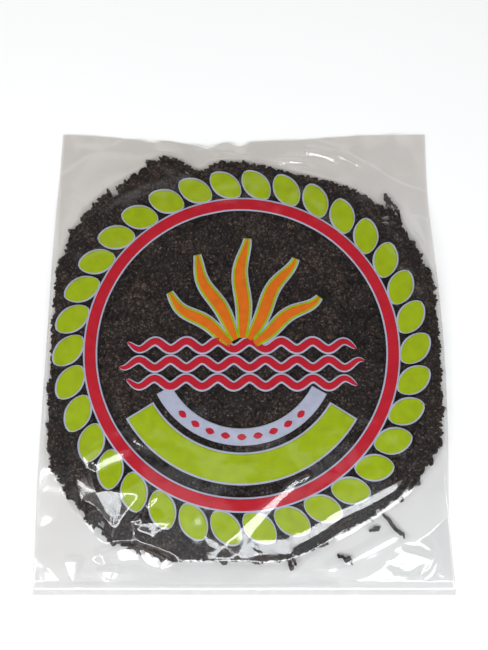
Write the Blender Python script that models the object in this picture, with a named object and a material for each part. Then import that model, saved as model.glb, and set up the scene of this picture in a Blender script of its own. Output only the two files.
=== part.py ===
"""Dried laver disc in its clear film bag: a round cake of pressed purple laver, lying flat in a
lay-flat film bag with a welded lower end and a plain cut mouth, with a few broken fronds beside it.

Metres, +Z up, +Y towards the bag's mouth, +X to its right. The bag's underside is at z = 0.
"""

import math
import random

import bmesh
import bpy
from mathutils import Vector, noise

MM = 0.001

# The bag, as it lies with the cake in it
BAG_LENGTH = 0.2565
BAG_HALF_WIDTH = 0.1084
BAG_HALF_TAPER = 0.0026
SIDE_WAVE = 0.0009
SIDE_WAVES = 0.75
LEFT_WAVE_SHARE = 0.3
FILM = 0.0006
SLIT = 0.0010
WELD_WIDTH = 0.0050
WELD_FADE = 0.0025
CLEARANCE = 0.0003
SIDE_FOLD_INSET = 0.0011

# The mouth's edge hangs in a shallow sag, with one crumpled dip and one small notch
SAG_CENTRE = -0.030
SAG_LEFT = 0.078
SAG_RIGHT = 0.136
SAG_DEPTH = 0.0050
DIP_CENTRE = -0.021
DIP_HALF_WIDTH = 0.009
DIP_DEPTH = 0.0030
NOTCH_CENTRE = -0.0023
NOTCH_HALF_WIDTH = 0.003
NOTCH_DEPTH = 0.0040

# The top film's drape from the cake down to the bag's ends
DRAPE_REACH = 0.034
DRAPE_POWER = 1.4
FILM_OVER_CAKE = 0.0023
FILM_PAST_RIM = 0.0015

# The cake
CAKE_CENTRE = Vector((-0.0013, -0.0010))
CAKE_RADIUS = 0.1118
THREE_LOBES = 0.0038
FOUR_LOBES = 0.0046
FOUR_LOBES_TURN = math.radians(44)
CAKE_TO_FOLD = 0.0025
CAKE_THICKNESS = 0.0080
RIM_THICKNESS = 0.0056
RIM_ROUNDING = 0.07
RIM_MIDDLE = 0.0024
RIM_HALF_EDGE = 0.0005
RAGGED = 0.0016
RAGGED_PER_TURN = 7.3
RAGGED_FINER = 2.3
RAGGED_SLICE = 0.4
RAGGED_PAST = 0.0005
MOST_ALONG_FOLD = 0.3
RELIEF = 0.0028
RELIEF_SIZE = 0.0135
RELIEF_WARP = 1.1
RELIEF_WARP_FINENESS = 0.6
WARP_SLICES = (Vector((0.0, 0.0, 7.3)), Vector((0.0, 0.0, 19.1)))
CREST_SHARPNESS = 2.6
SWELL = 0.0006
SWELL_SIZE = 0.040
UNDERSIDE_RELIEF = 0.0008

# The rim's own lobes and bays: direction in degrees, half-width in degrees, reach in millimetres
RIM_LOBES = (
    (42, 3, 3.5),
    (90, 9, 2.2),
    (103, 3, -5.5),
    (112, 5, 6.0),
    (211, 4, 2.5),
    (234, 5, 2.5),
    (280, 9, 3.5),
    (308, 11, -3.0),
    (335, 7, 3.5),
)

# Grids
CAKE_RINGS = 17
BAG_COLUMNS = 28
BAG_ROWS = 22

# The fronds that stand out of the cake
SEED = 57
RIM_FRONDS = 42
TOP_FRONDS = 25
FROND_THICKNESS = 0.0009
FROND_STEPS = 4
FROND_RIPPLE = 0.0003
FROND_TIP_SHARE = 0.16
FROND_BULGE_FROM = 0.14
FROND_BULGE_SPAN = 0.83
FROND_JITTER = 0.3
RIM_FROND_INSIDE = (0.012, 0.016)
RIM_FROND_OUTSIDE = (0.0014, 0.0042)
RIM_FROND_WIDTH = (0.006, 0.011)
RIM_FROND_SWIRL = 0.07
RIM_FROND_LOW = (0.0006, 0.0015)
RIM_FROND_RISE = (-0.0003, 0.0004)
RIM_FROND_FROM_FOLD = 0.0022
TOP_FROND_LENGTH = (0.024, 0.036)
TOP_FROND_WIDTH = (0.008, 0.014)
TOP_FROND_BEND = 0.6
TOP_FROND_DEPTH = 0.0042
TOP_FROND_SUNK = 0.0030
TOP_FROND_OVER = 0.0014
TOP_FROND_SPREAD = 0.74
GOLDEN_TURN = math.pi * (3.0 - math.sqrt(5.0))

# A loop of strand at the upper right of the rim, and a tip that stands out at the bottom
STRAND_LOOP = ((0.0740, 0.0800), (0.0815, 0.0870), (0.0865, 0.0865), (0.0885, 0.0800))
STRAND_LOOP += ((0.0880, 0.0710), (0.0845, 0.0655), (0.0780, 0.0640))
STRAND_TIP = ((0.0195, -0.0990), (0.0215, -0.1050), (0.0235, -0.1105), (0.0250, -0.1150))
STRAND_WIDTH = 0.0026
STRAND_HEIGHT = 0.0011

# Broken fronds lying in the lower right of the bag: name, from, to, sideways bow and width
LOOSE_FRONDS = (
    ("loose_frond_curl", (0.0735, -0.0870), (0.0830, -0.0985), 0.0016, 0.0026),
    ("loose_frond_fleck", (0.0662, -0.0958), (0.0722, -0.0932), 0.0004, 0.0024),
    ("loose_frond_tip", (0.0490, -0.1092), (0.0572, -0.1128), 0.0008, 0.0034),
)


def clear_scene():
    for thing in list(bpy.data.objects):
        bpy.data.objects.remove(thing, do_unlink=True)


def principled(name, colour, roughness, alpha=1.0):
    material = bpy.data.materials.new(name)
    material.use_nodes = True
    shader = material.node_tree.nodes["Principled BSDF"]
    shader.inputs["Base Color"].default_value = (*colour, 1.0)
    shader.inputs["Roughness"].default_value = roughness
    shader.inputs["Metallic"].default_value = 0.0
    shader.inputs["Alpha"].default_value = alpha
    return material


def object_from(name, points, faces, material):
    mesh = bpy.data.meshes.new(name)
    mesh.from_pydata(points, [], faces)
    work = bmesh.new()
    work.from_mesh(mesh)
    bmesh.ops.triangulate(work, faces=work.faces, quad_method="FIXED")
    bmesh.ops.recalc_face_normals(work, faces=work.faces)
    work.to_mesh(mesh)
    work.free()
    mesh.shade_smooth()
    mesh.materials.append(material)
    made = bpy.data.objects.new(name, mesh)
    bpy.context.scene.collection.objects.link(made)
    return made


def smooth(value):
    value = min(max(value, 0.0), 1.0)
    return value * value * (3.0 - 2.0 * value)


def bump(offset, half_width):
    return math.exp(-((offset / half_width) ** 2))


def around_cake(angle, reach):
    return CAKE_CENTRE + Vector((math.cos(angle), math.sin(angle))) * reach


def cake_outline(angle):
    """The rim's smooth line: lobed, and pressed straight where it meets the bag's side folds."""
    reach = CAKE_RADIUS + THREE_LOBES * math.cos(3 * angle)
    reach += FOUR_LOBES * math.cos(4 * (angle - FOUR_LOBES_TURN))
    for at, half_width, depth in RIM_LOBES:
        off = math.remainder(angle - math.radians(at), math.tau)
        reach += depth * MM * bump(off, math.radians(half_width))
    return min(reach, reach_to_fold(angle, CAKE_TO_FOLD))


def reach_to_fold(angle, gap):
    """How far a ray from the cake's centre may go before it is this near a side fold."""
    across = math.cos(angle)
    if abs(across) < MOST_ALONG_FOLD:
        return BAG_LENGTH
    level = CAKE_CENTRE.y + CAKE_RADIUS * math.sin(angle)
    fold = bag_side(level, across > 0) - CAKE_CENTRE.x
    return fold / across - gap / abs(across)


def ragged_outline(angle):
    place = Vector((math.cos(angle), math.sin(angle), RAGGED_SLICE)) * RAGGED_PER_TURN
    ragged = RAGGED * (noise.noise(place) + noise.noise(place * RAGGED_FINER))
    return min(cake_outline(angle) + ragged, reach_to_fold(angle, CAKE_TO_FOLD - RAGGED_PAST))


def cake_base():
    return FILM + CLEARANCE


def cake_profile(share):
    """Heights of the underside and the top over the cake's base, at this share of the radius."""
    thick = CAKE_THICKNESS - (CAKE_THICKNESS - RIM_THICKNESS) * share * share
    into = min(max(0.0, share - 1.0 + RIM_ROUNDING) / RIM_ROUNDING, 1.0)
    rounded = 1.0 - math.sqrt(1.0 - into * into)
    top = thick + (RIM_MIDDLE + RIM_HALF_EDGE - thick) * rounded
    low = (RIM_MIDDLE - RIM_HALF_EDGE) * rounded
    return low, top


def cake_top(place):
    """The cake's smooth upper height at a place, and its shoulder's height outside it."""
    away = place - CAKE_CENTRE
    share = away.length / cake_outline(math.atan2(away.y, away.x))
    return cake_base() + cake_profile(min(share, 1.0 - RIM_ROUNDING))[1]


def frond_relief(x, y):
    """The crests of the matted fronds as warped ridges, from 0 to 1."""
    place = Vector((x, y, 0.0)) / RELIEF_SIZE
    slow = place * RELIEF_WARP_FINENESS
    warp = Vector((noise.noise(slow + WARP_SLICES[0]), noise.noise(slow + WARP_SLICES[1]), 0.0))
    place += warp * RELIEF_WARP
    return max(1.0 - abs(noise.noise(place)) * CREST_SHARPNESS, 0.0)


def cake_point(angle, share, upper):
    place = around_cake(angle, ragged_outline(angle) * share)
    low, top = cake_profile(share)
    inward = 1.0 - smooth((share - 1.0 + RIM_ROUNDING) / RIM_ROUNDING)
    if upper:
        swell = SWELL * noise.noise(Vector((place.x, place.y, 0.0)) / SWELL_SIZE)
        height = top + (RELIEF * (frond_relief(place.x, place.y) - 0.5) + swell) * inward
    else:
        height = low + UNDERSIDE_RELIEF * (1.0 - frond_relief(-place.x, place.y)) * inward
    return place.x, place.y, cake_base() + height


def round_grid_place(column, row):
    """Direction and share of the radius for a square grid's corner, pulled into a round one."""
    ring = max(abs(column), abs(row))
    if ring == 0:
        return 0.0, 0.0
    if abs(column) >= abs(row):
        turn = 0.25 * math.pi * row / column + (math.pi if column < 0 else 0.0)
    else:
        turn = 0.5 * math.pi - 0.25 * math.pi * column / row + (math.pi if row < 0 else 0.0)
    return turn, ring / CAKE_RINGS


def make_cake(material):
    """Two sheets on a square grid pulled into a disc, joined round their rims."""
    side = 2 * CAKE_RINGS + 1
    steps = range(-CAKE_RINGS, CAKE_RINGS + 1)
    points = []
    for upper in (True, False):
        points += [cake_point(*round_grid_place(c, r), upper) for r in steps for c in steps]
    sheet = side * side
    faces = []
    for row in range(side - 1):
        for column in range(side - 1):
            first = row * side + column
            corners = (first, first + 1, first + side + 1, first + side)
            faces.append(corners)
            faces.append(tuple(sheet + corner for corner in corners))
    border = list(range(side)) + [row * side + side - 1 for row in range(1, side)]
    border += list(range(sheet - 2, sheet - side - 1, -1))
    border += [row * side for row in range(side - 2, 0, -1)]
    for here, there in zip(border, border[1:] + border[:1]):
        faces.append((here, sheet + here, sheet + there, there))
    return object_from("laver_disc", points, faces, material)


def frond_blade(name, route, width, heights, material, ripple=0.0, thickness=FROND_THICKNESS):
    """A closed blade that narrows to both ends of its route; heights are its underside's."""
    points = []
    last = len(route) - 1
    for step, place in enumerate(route):
        run = (route[min(step + 1, last)] - route[max(step - 1, 0)]).normalized()
        along = step / last
        bulge = math.sin(math.pi * (FROND_BULGE_FROM + FROND_BULGE_SPAN * along))
        half = 0.5 * width * (FROND_TIP_SHARE + (1.0 - FROND_TIP_SHARE) * bulge)
        for across in (-1, 0, 1):
            height = heights[step] + ripple * across * math.sin(along * math.tau)
            points.append((place.x - run.y * across * half, place.y + run.x * across * half, height))
    sheet = len(points)
    points += [(x, y, z + thickness) for x, y, z in points]
    faces = []
    for step in range(last):
        for column in (0, 1):
            first = step * 3 + column
            corners = (first, first + 3, first + 4, first + 1)
            faces += [corners[:3], (corners[0], corners[2], corners[3])]
            above = tuple(sheet + corner for corner in corners)
            faces += [above[:3], (above[0], above[2], above[3])]
    border = [0, 1, 2] + [step * 3 + 2 for step in range(1, last + 1)]
    border += [last * 3 + 1] + [step * 3 for step in range(last, 0, -1)]
    for here, there in zip(border, border[1:] + border[:1]):
        faces.append((here, there, sheet + there, sheet + here))
    return object_from(name, points, faces, material)


def rim_fronds(material, draw):
    """Blades rooted in the rim that end a few millimetres outside it, lying nearly flat."""
    made = []
    for number in range(RIM_FRONDS):
        angle = math.tau * (number + draw.uniform(-FROND_JITTER, FROND_JITTER)) / RIM_FRONDS
        inside = draw.uniform(*RIM_FROND_INSIDE)
        outside = draw.uniform(*RIM_FROND_OUTSIDE)
        swirl = draw.uniform(-RIM_FROND_SWIRL, RIM_FROND_SWIRL)
        route = []
        for step in range(FROND_STEPS + 1):
            along = step / FROND_STEPS
            turned = angle + swirl * along * along
            reach = ragged_outline(angle) - inside + (inside + outside) * along
            reach = min(reach, reach_to_fold(turned, CAKE_TO_FOLD + RIM_FROND_FROM_FOLD))
            route.append(around_cake(turned, reach))
        low = cake_base() + draw.uniform(*RIM_FROND_LOW)
        rise = draw.uniform(*RIM_FROND_RISE)
        heights = [low + rise * step / FROND_STEPS for step in range(FROND_STEPS + 1)]
        width = draw.uniform(*RIM_FROND_WIDTH)
        made.append(frond_blade("rim_frond", route, width, heights, material))
    return made


def top_fronds(material, draw):
    """Rippled fronds that arch out of the upper face and sink back into it, solid beneath."""
    made = []
    for number in range(TOP_FRONDS):
        spread = math.sqrt((number + 0.5) / TOP_FRONDS) * TOP_FROND_SPREAD
        angle = GOLDEN_TURN * number + draw.uniform(-FROND_JITTER, FROND_JITTER)
        middle = around_cake(angle, CAKE_RADIUS * spread)
        heading = draw.uniform(0.0, math.tau)
        bend = draw.uniform(-TOP_FROND_BEND, TOP_FROND_BEND)
        length = draw.uniform(*TOP_FROND_LENGTH)
        crest = cake_top(middle) + TOP_FROND_OVER - TOP_FROND_DEPTH
        route = []
        heights = []
        for step in range(FROND_STEPS + 1):
            along = step / FROND_STEPS - 0.5
            turned = heading + bend * along
            route.append(middle + Vector((math.cos(turned), math.sin(turned))) * (length * along))
            heights.append(crest - TOP_FROND_SUNK * (2.0 * along) ** 2)
        width = draw.uniform(*TOP_FROND_WIDTH)
        frond = frond_blade("top_frond", route, width, heights, material, FROND_RIPPLE, TOP_FROND_DEPTH)
        made.append(frond)
    return made


def strands(material):
    """Thin strands that stand out of the rim: a loop rooted at both ends, and a single tip."""
    made = []
    for route in (STRAND_LOOP, STRAND_TIP):
        heights = [cake_base() + STRAND_HEIGHT] * len(route)
        places = [Vector(place) for place in route]
        made.append(frond_blade("strand", places, STRAND_WIDTH, heights, material))
    return made


def fuse(base, pieces):
    """One Boolean union of the base with all the pieces, applied, with the pieces then removed."""
    gathered = bpy.data.collections.new("fused_fronds")
    bpy.context.scene.collection.children.link(gathered)
    for piece in pieces:
        bpy.context.scene.collection.objects.unlink(piece)
        gathered.objects.link(piece)
    union = base.modifiers.new("union", "BOOLEAN")
    union.operation = "UNION"
    union.operand_type = "COLLECTION"
    union.collection = gathered
    union.solver = "EXACT"
    graph = bpy.context.evaluated_depsgraph_get()
    fused = bpy.data.meshes.new_from_object(base.evaluated_get(graph))
    base.modifiers.clear()
    base.data = fused
    for piece in pieces:
        bpy.data.objects.remove(piece, do_unlink=True)
    bpy.data.collections.remove(gathered)
    keep_outer_body(base)


def keep_outer_body(made):
    """Drops the small bodies left by fusing: hollows sealed under an arch, and scraps."""
    work = bmesh.new()
    work.from_mesh(made.data)
    unseen = set(work.faces)
    bodies = []
    while unseen:
        reached = {unseen.pop()}
        body = set(reached)
        while reached:
            face = reached.pop()
            plain_edges = [edge for edge in face.edges if len(edge.link_faces) == 2]
            fresh = {other for edge in plain_edges for other in edge.link_faces} & unseen
            unseen -= fresh
            reached |= fresh
            body |= fresh
        bodies.append(body)
    outer = max(bodies, key=len)
    dropped = [face for body in bodies if body is not outer for face in body]
    bmesh.ops.delete(work, geom=dropped, context="FACES")
    work.to_mesh(made.data)
    work.free()


def make_loose_frond(name, start, end, bow, width, material):
    """A broken frond lying on the lower film, bowed sideways and a little humped."""
    start = Vector(start)
    run = Vector(end) - start
    aside = Vector((-run.y, run.x)).normalized()
    route = []
    heights = []
    for step in range(FROND_STEPS + 1):
        along = step / FROND_STEPS
        hump = math.sin(math.pi * along)
        route.append(start + run * along + aside * (bow * hump))
        heights.append(cake_base() + FROND_RIPPLE * hump)
    return frond_blade(name, route, width, heights, material)


def bag_side(y, right):
    """The side fold's x at this y: the bag is drawn in a little towards its mouth."""
    toward_mouth = 2.0 * y / BAG_LENGTH
    wave = SIDE_WAVE * math.sin(math.tau * (toward_mouth + 1.0) * SIDE_WAVES)
    half = BAG_HALF_WIDTH - BAG_HALF_TAPER * toward_mouth
    return half - wave if right else -half - LEFT_WAVE_SHARE * wave


def mouth_edge(x):
    half = SAG_LEFT if x < SAG_CENTRE else SAG_RIGHT
    into = min(abs(x - SAG_CENTRE) / half, 1.0)
    edge = BAG_LENGTH / 2 - SAG_DEPTH * math.cos(0.5 * math.pi * into) ** 2
    edge -= DIP_DEPTH * bump(x - DIP_CENTRE, DIP_HALF_WIDTH)
    return edge - NOTCH_DEPTH * bump(x - NOTCH_CENTRE, NOTCH_HALF_WIDTH)


def film_top(x, y):
    """The upper film's outer height: over the cake, then draped down to the bag's two ends."""
    flat = 2 * FILM + SLIT
    over = cake_top(Vector((x, y))) + FILM_OVER_CAKE + FILM
    away = Vector((x, y)) - CAKE_CENTRE
    outside = away.length - cake_outline(math.atan2(away.y, away.x)) - FILM_PAST_RIM
    if outside <= 0.0:
        return over
    to_end = min(mouth_edge(x) - y, y - weld_line(), DRAPE_REACH)
    share = smooth(max(to_end, 0.0) / (max(to_end, 0.0) + outside)) ** DRAPE_POWER
    return flat + (over - flat) * share


def weld_line():
    return -BAG_LENGTH / 2 + WELD_WIDTH


def bag_ring(low, along, inset, height):
    """A closed ring of one film face: along the underside, a side fold, back over the top."""
    level = low + (BAG_LENGTH / 2 - low) * along
    left = bag_side(level, False) + inset
    right = bag_side(level, True) - inset
    span = right - left - 2 * SIDE_FOLD_INSET
    under = []
    over = []
    for column in range(BAG_COLUMNS + 1):
        x = left + SIDE_FOLD_INSET + span * column / BAG_COLUMNS
        y = low + (mouth_edge(x) - low) * along
        under.append((x, y, inset))
        over.append((x, y, height(x, y) - inset))
    over.reverse()
    right_fold = (right, under[-1][1], 0.5 * (under[-1][2] + over[0][2]))
    left_fold = (left, under[0][1], 0.5 * (under[0][2] + over[-1][2]))
    return under + [right_fold] + over + [left_fold]


def flat_height(x, y):
    return 2 * FILM


def end_cap(first, flip):
    """Quads between the underside and the top of one ring, with a triangle at each side fold."""
    columns = BAG_COLUMNS
    faces = []
    for column in range(columns):
        over = 2 * columns + 2 - column
        faces.append((first + column, first + column + 1, first + over - 1, first + over))
    faces.append((first + columns, first + columns + 1, first + columns + 2))
    faces.append((first, first + 2 * columns + 2, first + 2 * columns + 3))
    return [tuple(reversed(face)) for face in faces] if flip else faces


def make_bag(material):
    """One thin-walled body: outer rings from the weld to the mouth, then inner rings back down."""
    end = -BAG_LENGTH / 2
    first_row = weld_line() + WELD_FADE
    rings = [bag_ring(end, 0.0, 0.0, flat_height), bag_ring(weld_line(), 0.0, 0.0, flat_height)]
    shares = [row / BAG_ROWS for row in range(BAG_ROWS + 1)]
    rings += [bag_ring(first_row, share, 0.0, film_top) for share in shares]
    rings += [bag_ring(first_row, share, FILM, film_top) for share in reversed(shares)]
    points = [point for ring in rings for point in ring]
    size = len(rings[0])
    faces = end_cap(0, True)
    for ring in range(len(rings) - 1):
        for place in range(size):
            after = (place + 1) % size
            near = ring * size
            faces.append((near + place, near + after, near + size + after, near + size + place))
    faces += end_cap((len(rings) - 1) * size, False)
    return object_from("film_bag", points, faces, material)


def main():
    clear_scene()
    laver = principled("laver_purple_brown", (0.032, 0.022, 0.022), 0.55)
    film = principled("clear_film", (0.80, 0.78, 0.76), 0.12, alpha=0.25)
    draw = random.Random(SEED)
    cake = make_cake(laver)
    fuse(cake, rim_fronds(laver, draw) + top_fronds(laver, draw) + strands(laver))
    make_bag(film)
    for name, start, end, bow, width in LOOSE_FRONDS:
        make_loose_frond(name, start, end, bow, width, laver)


main()
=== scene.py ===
"""The looks of the dried laver disc in its clear film bag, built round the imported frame.

Metres, +Z up, +Y towards the bag's mouth. The first sections repeat the outlines and heights of the
solids, so that each finer piece keeps the form of the node that it stands for.
"""

import math
import random

import bpy
import numpy as np
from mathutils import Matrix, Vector, noise


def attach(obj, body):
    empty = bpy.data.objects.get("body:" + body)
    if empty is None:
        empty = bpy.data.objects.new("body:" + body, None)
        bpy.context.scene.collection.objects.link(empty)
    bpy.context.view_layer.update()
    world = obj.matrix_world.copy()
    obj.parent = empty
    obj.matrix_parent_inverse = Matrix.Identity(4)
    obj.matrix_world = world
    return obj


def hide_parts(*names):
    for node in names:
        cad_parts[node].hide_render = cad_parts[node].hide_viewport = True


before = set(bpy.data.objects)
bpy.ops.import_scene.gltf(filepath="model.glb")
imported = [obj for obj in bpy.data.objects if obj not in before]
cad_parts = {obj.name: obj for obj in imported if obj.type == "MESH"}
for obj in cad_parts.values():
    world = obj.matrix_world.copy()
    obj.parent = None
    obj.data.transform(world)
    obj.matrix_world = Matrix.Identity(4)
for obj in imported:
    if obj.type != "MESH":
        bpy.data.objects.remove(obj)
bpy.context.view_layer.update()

MM = 0.001
TURN = math.tau
TINY = 1e-9

# The camera, at the photograph's place: almost overhead, tilted towards the mouth
CAMERA_PLACE = (0.0, -0.0539, 0.3920)
CAMERA_TILT = math.radians(10)
CAMERA_SENSOR = 36.0
CAMERA_FOCAL_SHARE = 713 / 650

# The bag
BAG_LENGTH = 0.2565
BAG_HALF_WIDTH = 0.1084
BAG_HALF_TAPER = 0.0026
SIDE_WAVE = 0.0009
SIDE_WAVES = 0.75
LEFT_WAVE_SHARE = 0.3
WELD_LINE = -0.12325
SIDE_FOLD_INSET = 0.0016
SAG_CENTRE = -0.030
SAG_LEFT = 0.078
SAG_RIGHT = 0.136
SAG_DEPTH = 0.0050
DIP_CENTRE = -0.021
DIP_HALF_WIDTH = 0.009
DIP_DEPTH = 0.0030
NOTCH_CENTRE = -0.0023
NOTCH_HALF_WIDTH = 0.003
NOTCH_DEPTH = 0.0040
DRAPE_REACH = 0.023
DRAPE_WANDER = 0.5
DRAPE_CELLS = 2.2
DRAPE_LAYER = 5
DRAPE_SOFTNESS = 2
FILM_OVER_CAKE = 0.0026
FILM_PAST_RIM = 0.0015
FILM_FREE_HEIGHT = 0.0011
WELD_HEIGHT = 0.0003

# The cake
CAKE_X = -0.0013
CAKE_Y = -0.0010
CAKE_RADIUS = 0.1118
THREE_LOBES = 0.0038
FOUR_LOBES = 0.0046
FOUR_LOBES_TURN = math.radians(44)
CAKE_TO_FOLD = 0.0025
CAKE_BASE = 0.0009
CAKE_THICKNESS = 0.0080
RIM_THICKNESS = 0.0056
RIM_ROUNDING = 0.07
RIM_MIDDLE = 0.0024
RIM_HALF_EDGE = 0.0005
MOST_ALONG_FOLD = 0.3
RELIEF = 0.0028
RELIEF_SIZE = 0.0135
RELIEF_WARP = 1.1
RELIEF_WARP_FINENESS = 0.6
RELIEF_WARP_SLICES = (7.3, 19.1)
CREST_SHARPNESS = 2.6
SWELL = 0.0006
SWELL_SIZE = 0.040
UNDERSIDE_RELIEF = 0.0008

# The rim's own lobes and bays: direction in degrees, half-width in degrees, reach in millimetres
RIM_LOBES = (
    (42, 3, 3.5),
    (90, 9, 2.2),
    (103, 3, -5.5),
    (112, 5, 6.0),
    (211, 4, 2.5),
    (234, 5, 2.5),
    (280, 9, 3.5),
    (308, 11, -3.0),
    (335, 7, 3.5),
)

# The rim's raggedness, coarse to fine: cells in a radian, depth in millimetres
RAGGED_LAYERS = ((7.3, 1.6), (16.8, 1.6), (41.0, 1.1), (83.0, 0.7))
RAGGED_SLICE = 0.4
RAGGED_FROM_FOLD = 0.0014
SOLID_LAYERS = RAGGED_LAYERS[:2]
SOLID_FROM_FOLD = CAKE_TO_FOLD - 0.0005

# The cake's finer relief, each cut down into the coarse relief: size, depth, warp and noise layer
FINE_RELIEF = (
    (0.0058, 0.0010, 0.7, 31.0),
    (0.0029, 0.0006, 0.5, 47.0),
)
CAKE_RINGS = 96
CAKE_JITTER = 0.0005
CAKE_JITTER_SIZE = 0.0022
CAKE_JITTER_LAYERS = (61, 83)

# Pinholes where the thin rim is worn through, and the light bays near them, in millimetres
PINHOLES = (
    (-75.2, -93.2, 1.3),
    (-69.3, -96.4, 0.8),
    (-58.2, -100.2, 0.9),
    (-73.7, 90.8, 1.4),
    (80.6, 76.2, 0.9),
    (80.4, 73.4, 0.7),
    (-25.5, 98.5, 0.8),
    (-33.0, 103.0, 0.7),
    (36.0, -97.0, 0.8),
)
PINHOLE_BAY = 0.0038
PINHOLE_THINNING = 0.86


def smooth(value):
    """An even rise from 0 to 1 that starts and ends flat."""
    value = np.clip(value, 0.0, 1.0)
    return value * value * (3.0 - 2.0 * value)


def bump(offset, half_width):
    """1 in the middle, down to nearly nothing two half-widths away."""
    return np.exp(-((offset / half_width) ** 2))


def noise_at(x, y, size, layer=0.0):
    """Smooth noise, about -1 to 1, for whole arrays of places."""
    across = (np.ravel(x) / size).tolist()
    along = (np.ravel(y) / size).tolist()
    values = [noise.noise((a, b, layer)) for a, b in zip(across, along)]
    return np.array(values).reshape(np.shape(x))


def noise_round(angle, cells, layer):
    """The same noise read round a circle, so that it closes: this many cells in a radian."""
    return noise_at(np.cos(angle) * cells, np.sin(angle) * cells, 1.0, layer)


def crests_at(x, y, size, warp, layer, sharpness=CREST_SHARPNESS):
    """Warped ridges from 0 to 1, like the crests of matted fronds."""
    slow = size / RELIEF_WARP_FINENESS
    bent_x = x + size * warp * noise_at(x, y, slow, layer + RELIEF_WARP_SLICES[0])
    bent_y = y + size * warp * noise_at(x, y, slow, layer + RELIEF_WARP_SLICES[1])
    return np.maximum(1.0 - np.abs(noise_at(bent_x, bent_y, size, layer)) * sharpness, 0.0)


def bag_side(y, right):
    """The side fold's x at this y: the bag is drawn in a little towards its mouth."""
    toward_mouth = 2.0 * y / BAG_LENGTH
    wave = SIDE_WAVE * np.sin(TURN * (toward_mouth + 1.0) * SIDE_WAVES)
    half = BAG_HALF_WIDTH - BAG_HALF_TAPER * toward_mouth
    return np.where(right, half - wave, -half - LEFT_WAVE_SHARE * wave)


def mouth_edge(x):
    """The mouth's cut edge, which sags, with one dip and one notch."""
    half = np.where(x < SAG_CENTRE, SAG_LEFT, SAG_RIGHT)
    into = np.minimum(np.abs(x - SAG_CENTRE) / half, 1.0)
    edge = BAG_LENGTH / 2 - SAG_DEPTH * np.cos(0.5 * math.pi * into) ** 2
    edge = edge - DIP_DEPTH * bump(x - DIP_CENTRE, DIP_HALF_WIDTH)
    return edge - NOTCH_DEPTH * bump(x - NOTCH_CENTRE, NOTCH_HALF_WIDTH)


def reach_to_fold(angle, gap):
    """How far a ray from the cake's centre may go before it is this near a side fold."""
    across = np.cos(angle)
    level = CAKE_Y + CAKE_RADIUS * np.sin(angle)
    fold = bag_side(level, across > 0) - CAKE_X
    safe = np.where(np.abs(across) < MOST_ALONG_FOLD, 1.0, across)
    reach = fold / safe - gap / np.abs(safe)
    return np.where(np.abs(across) < MOST_ALONG_FOLD, BAG_LENGTH, reach)


def cake_outline(angle):
    """The rim's smooth line: lobed, and pressed straight where it meets the bag's side folds."""
    reach = CAKE_RADIUS + THREE_LOBES * np.cos(3 * angle)
    reach = reach + FOUR_LOBES * np.cos(4 * (angle - FOUR_LOBES_TURN))
    for at, half_width, depth in RIM_LOBES:
        off = (angle - math.radians(at) + math.pi) % TURN - math.pi
        reach = reach + depth * MM * bump(off, math.radians(half_width))
    return np.minimum(reach, reach_to_fold(angle, CAKE_TO_FOLD))


def ragged_outline(angle, layers=RAGGED_LAYERS, gap=RAGGED_FROM_FOLD):
    """The rim with its teeth; the solids have only the coarse layers of them."""
    reach = cake_outline(angle)
    for cells, depth in layers:
        reach = reach + depth * MM * noise_round(angle, cells, RAGGED_SLICE * cells)
    return np.minimum(reach, reach_to_fold(angle, gap))


def cake_profile(share):
    """Heights of the underside and the top over the cake's base, at this share of the radius."""
    thick = CAKE_THICKNESS - (CAKE_THICKNESS - RIM_THICKNESS) * share * share
    into = np.clip((share - 1.0 + RIM_ROUNDING) / RIM_ROUNDING, 0.0, 1.0)
    rounded = 1.0 - np.sqrt(1.0 - into * into)
    top = thick + (RIM_MIDDLE + RIM_HALF_EDGE - thick) * rounded
    low = (RIM_MIDDLE - RIM_HALF_EDGE) * rounded
    return low, top


def polar(x, y):
    return np.arctan2(y - CAKE_Y, x - CAKE_X), np.hypot(x - CAKE_X, y - CAKE_Y)


def cake_top(x, y):
    """The cake's smooth upper height at a place, and its shoulder's height outside it."""
    angle, reach = polar(x, y)
    share = np.minimum(reach / cake_outline(angle), 1.0 - RIM_ROUNDING)
    return CAKE_BASE + cake_profile(share)[1]


def film_drape(x, y):
    """The upper film's height without its creases: over the cake, then taut down to the bag's ends."""
    over = cake_top(x, y) + FILM_OVER_CAKE
    angle, reach = polar(x, y)
    outside = np.maximum(reach - cake_outline(angle) - FILM_PAST_RIM, 0.0)
    to_end = np.maximum(np.minimum(mouth_edge(x) - y, y - WELD_LINE), 0.0)
    wander = 1.0 + DRAPE_WANDER * noise_round(angle, DRAPE_CELLS, DRAPE_LAYER)
    span = np.minimum(outside + to_end, DRAPE_REACH * wander)
    share = np.maximum(1.0 - outside / np.maximum(span, TINY), 0.0)
    return FILM_FREE_HEIGHT + (over - FILM_FREE_HEIGHT) * share


# Meshes

class Soup:
    """Points and faces gathered from many small closed bodies into one mesh."""

    def __init__(self):
        self.points = []
        self.faces = []
        self.count = 0

    def add(self, points, faces):
        points = np.asarray(points, float).reshape(-1, 3)
        self.points.append(points)
        self.faces += [tuple(corner + self.count for corner in face) for face in faces]
        self.count += len(points)

    def slab(self, x, y, top, low, round_along=False):
        """A closed body between two height grids on the same places, open or closed along rows."""
        rows, columns = np.shape(x)
        points = np.concatenate([np.stack([x, y, z], -1).reshape(-1, 3) for z in (top, low)])
        self.add(points, slab_faces(rows, columns, round_along))

    def make(self, name, material):
        mesh = bpy.data.meshes.new(name)
        mesh.from_pydata(np.concatenate(self.points).tolist(), [], self.faces)
        mesh.validate()
        mesh.shade_smooth()
        mesh.materials.append(material)
        made = bpy.data.objects.new(name, mesh)
        bpy.context.scene.collection.objects.link(made)
        return made


known_slabs = {}


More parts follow.
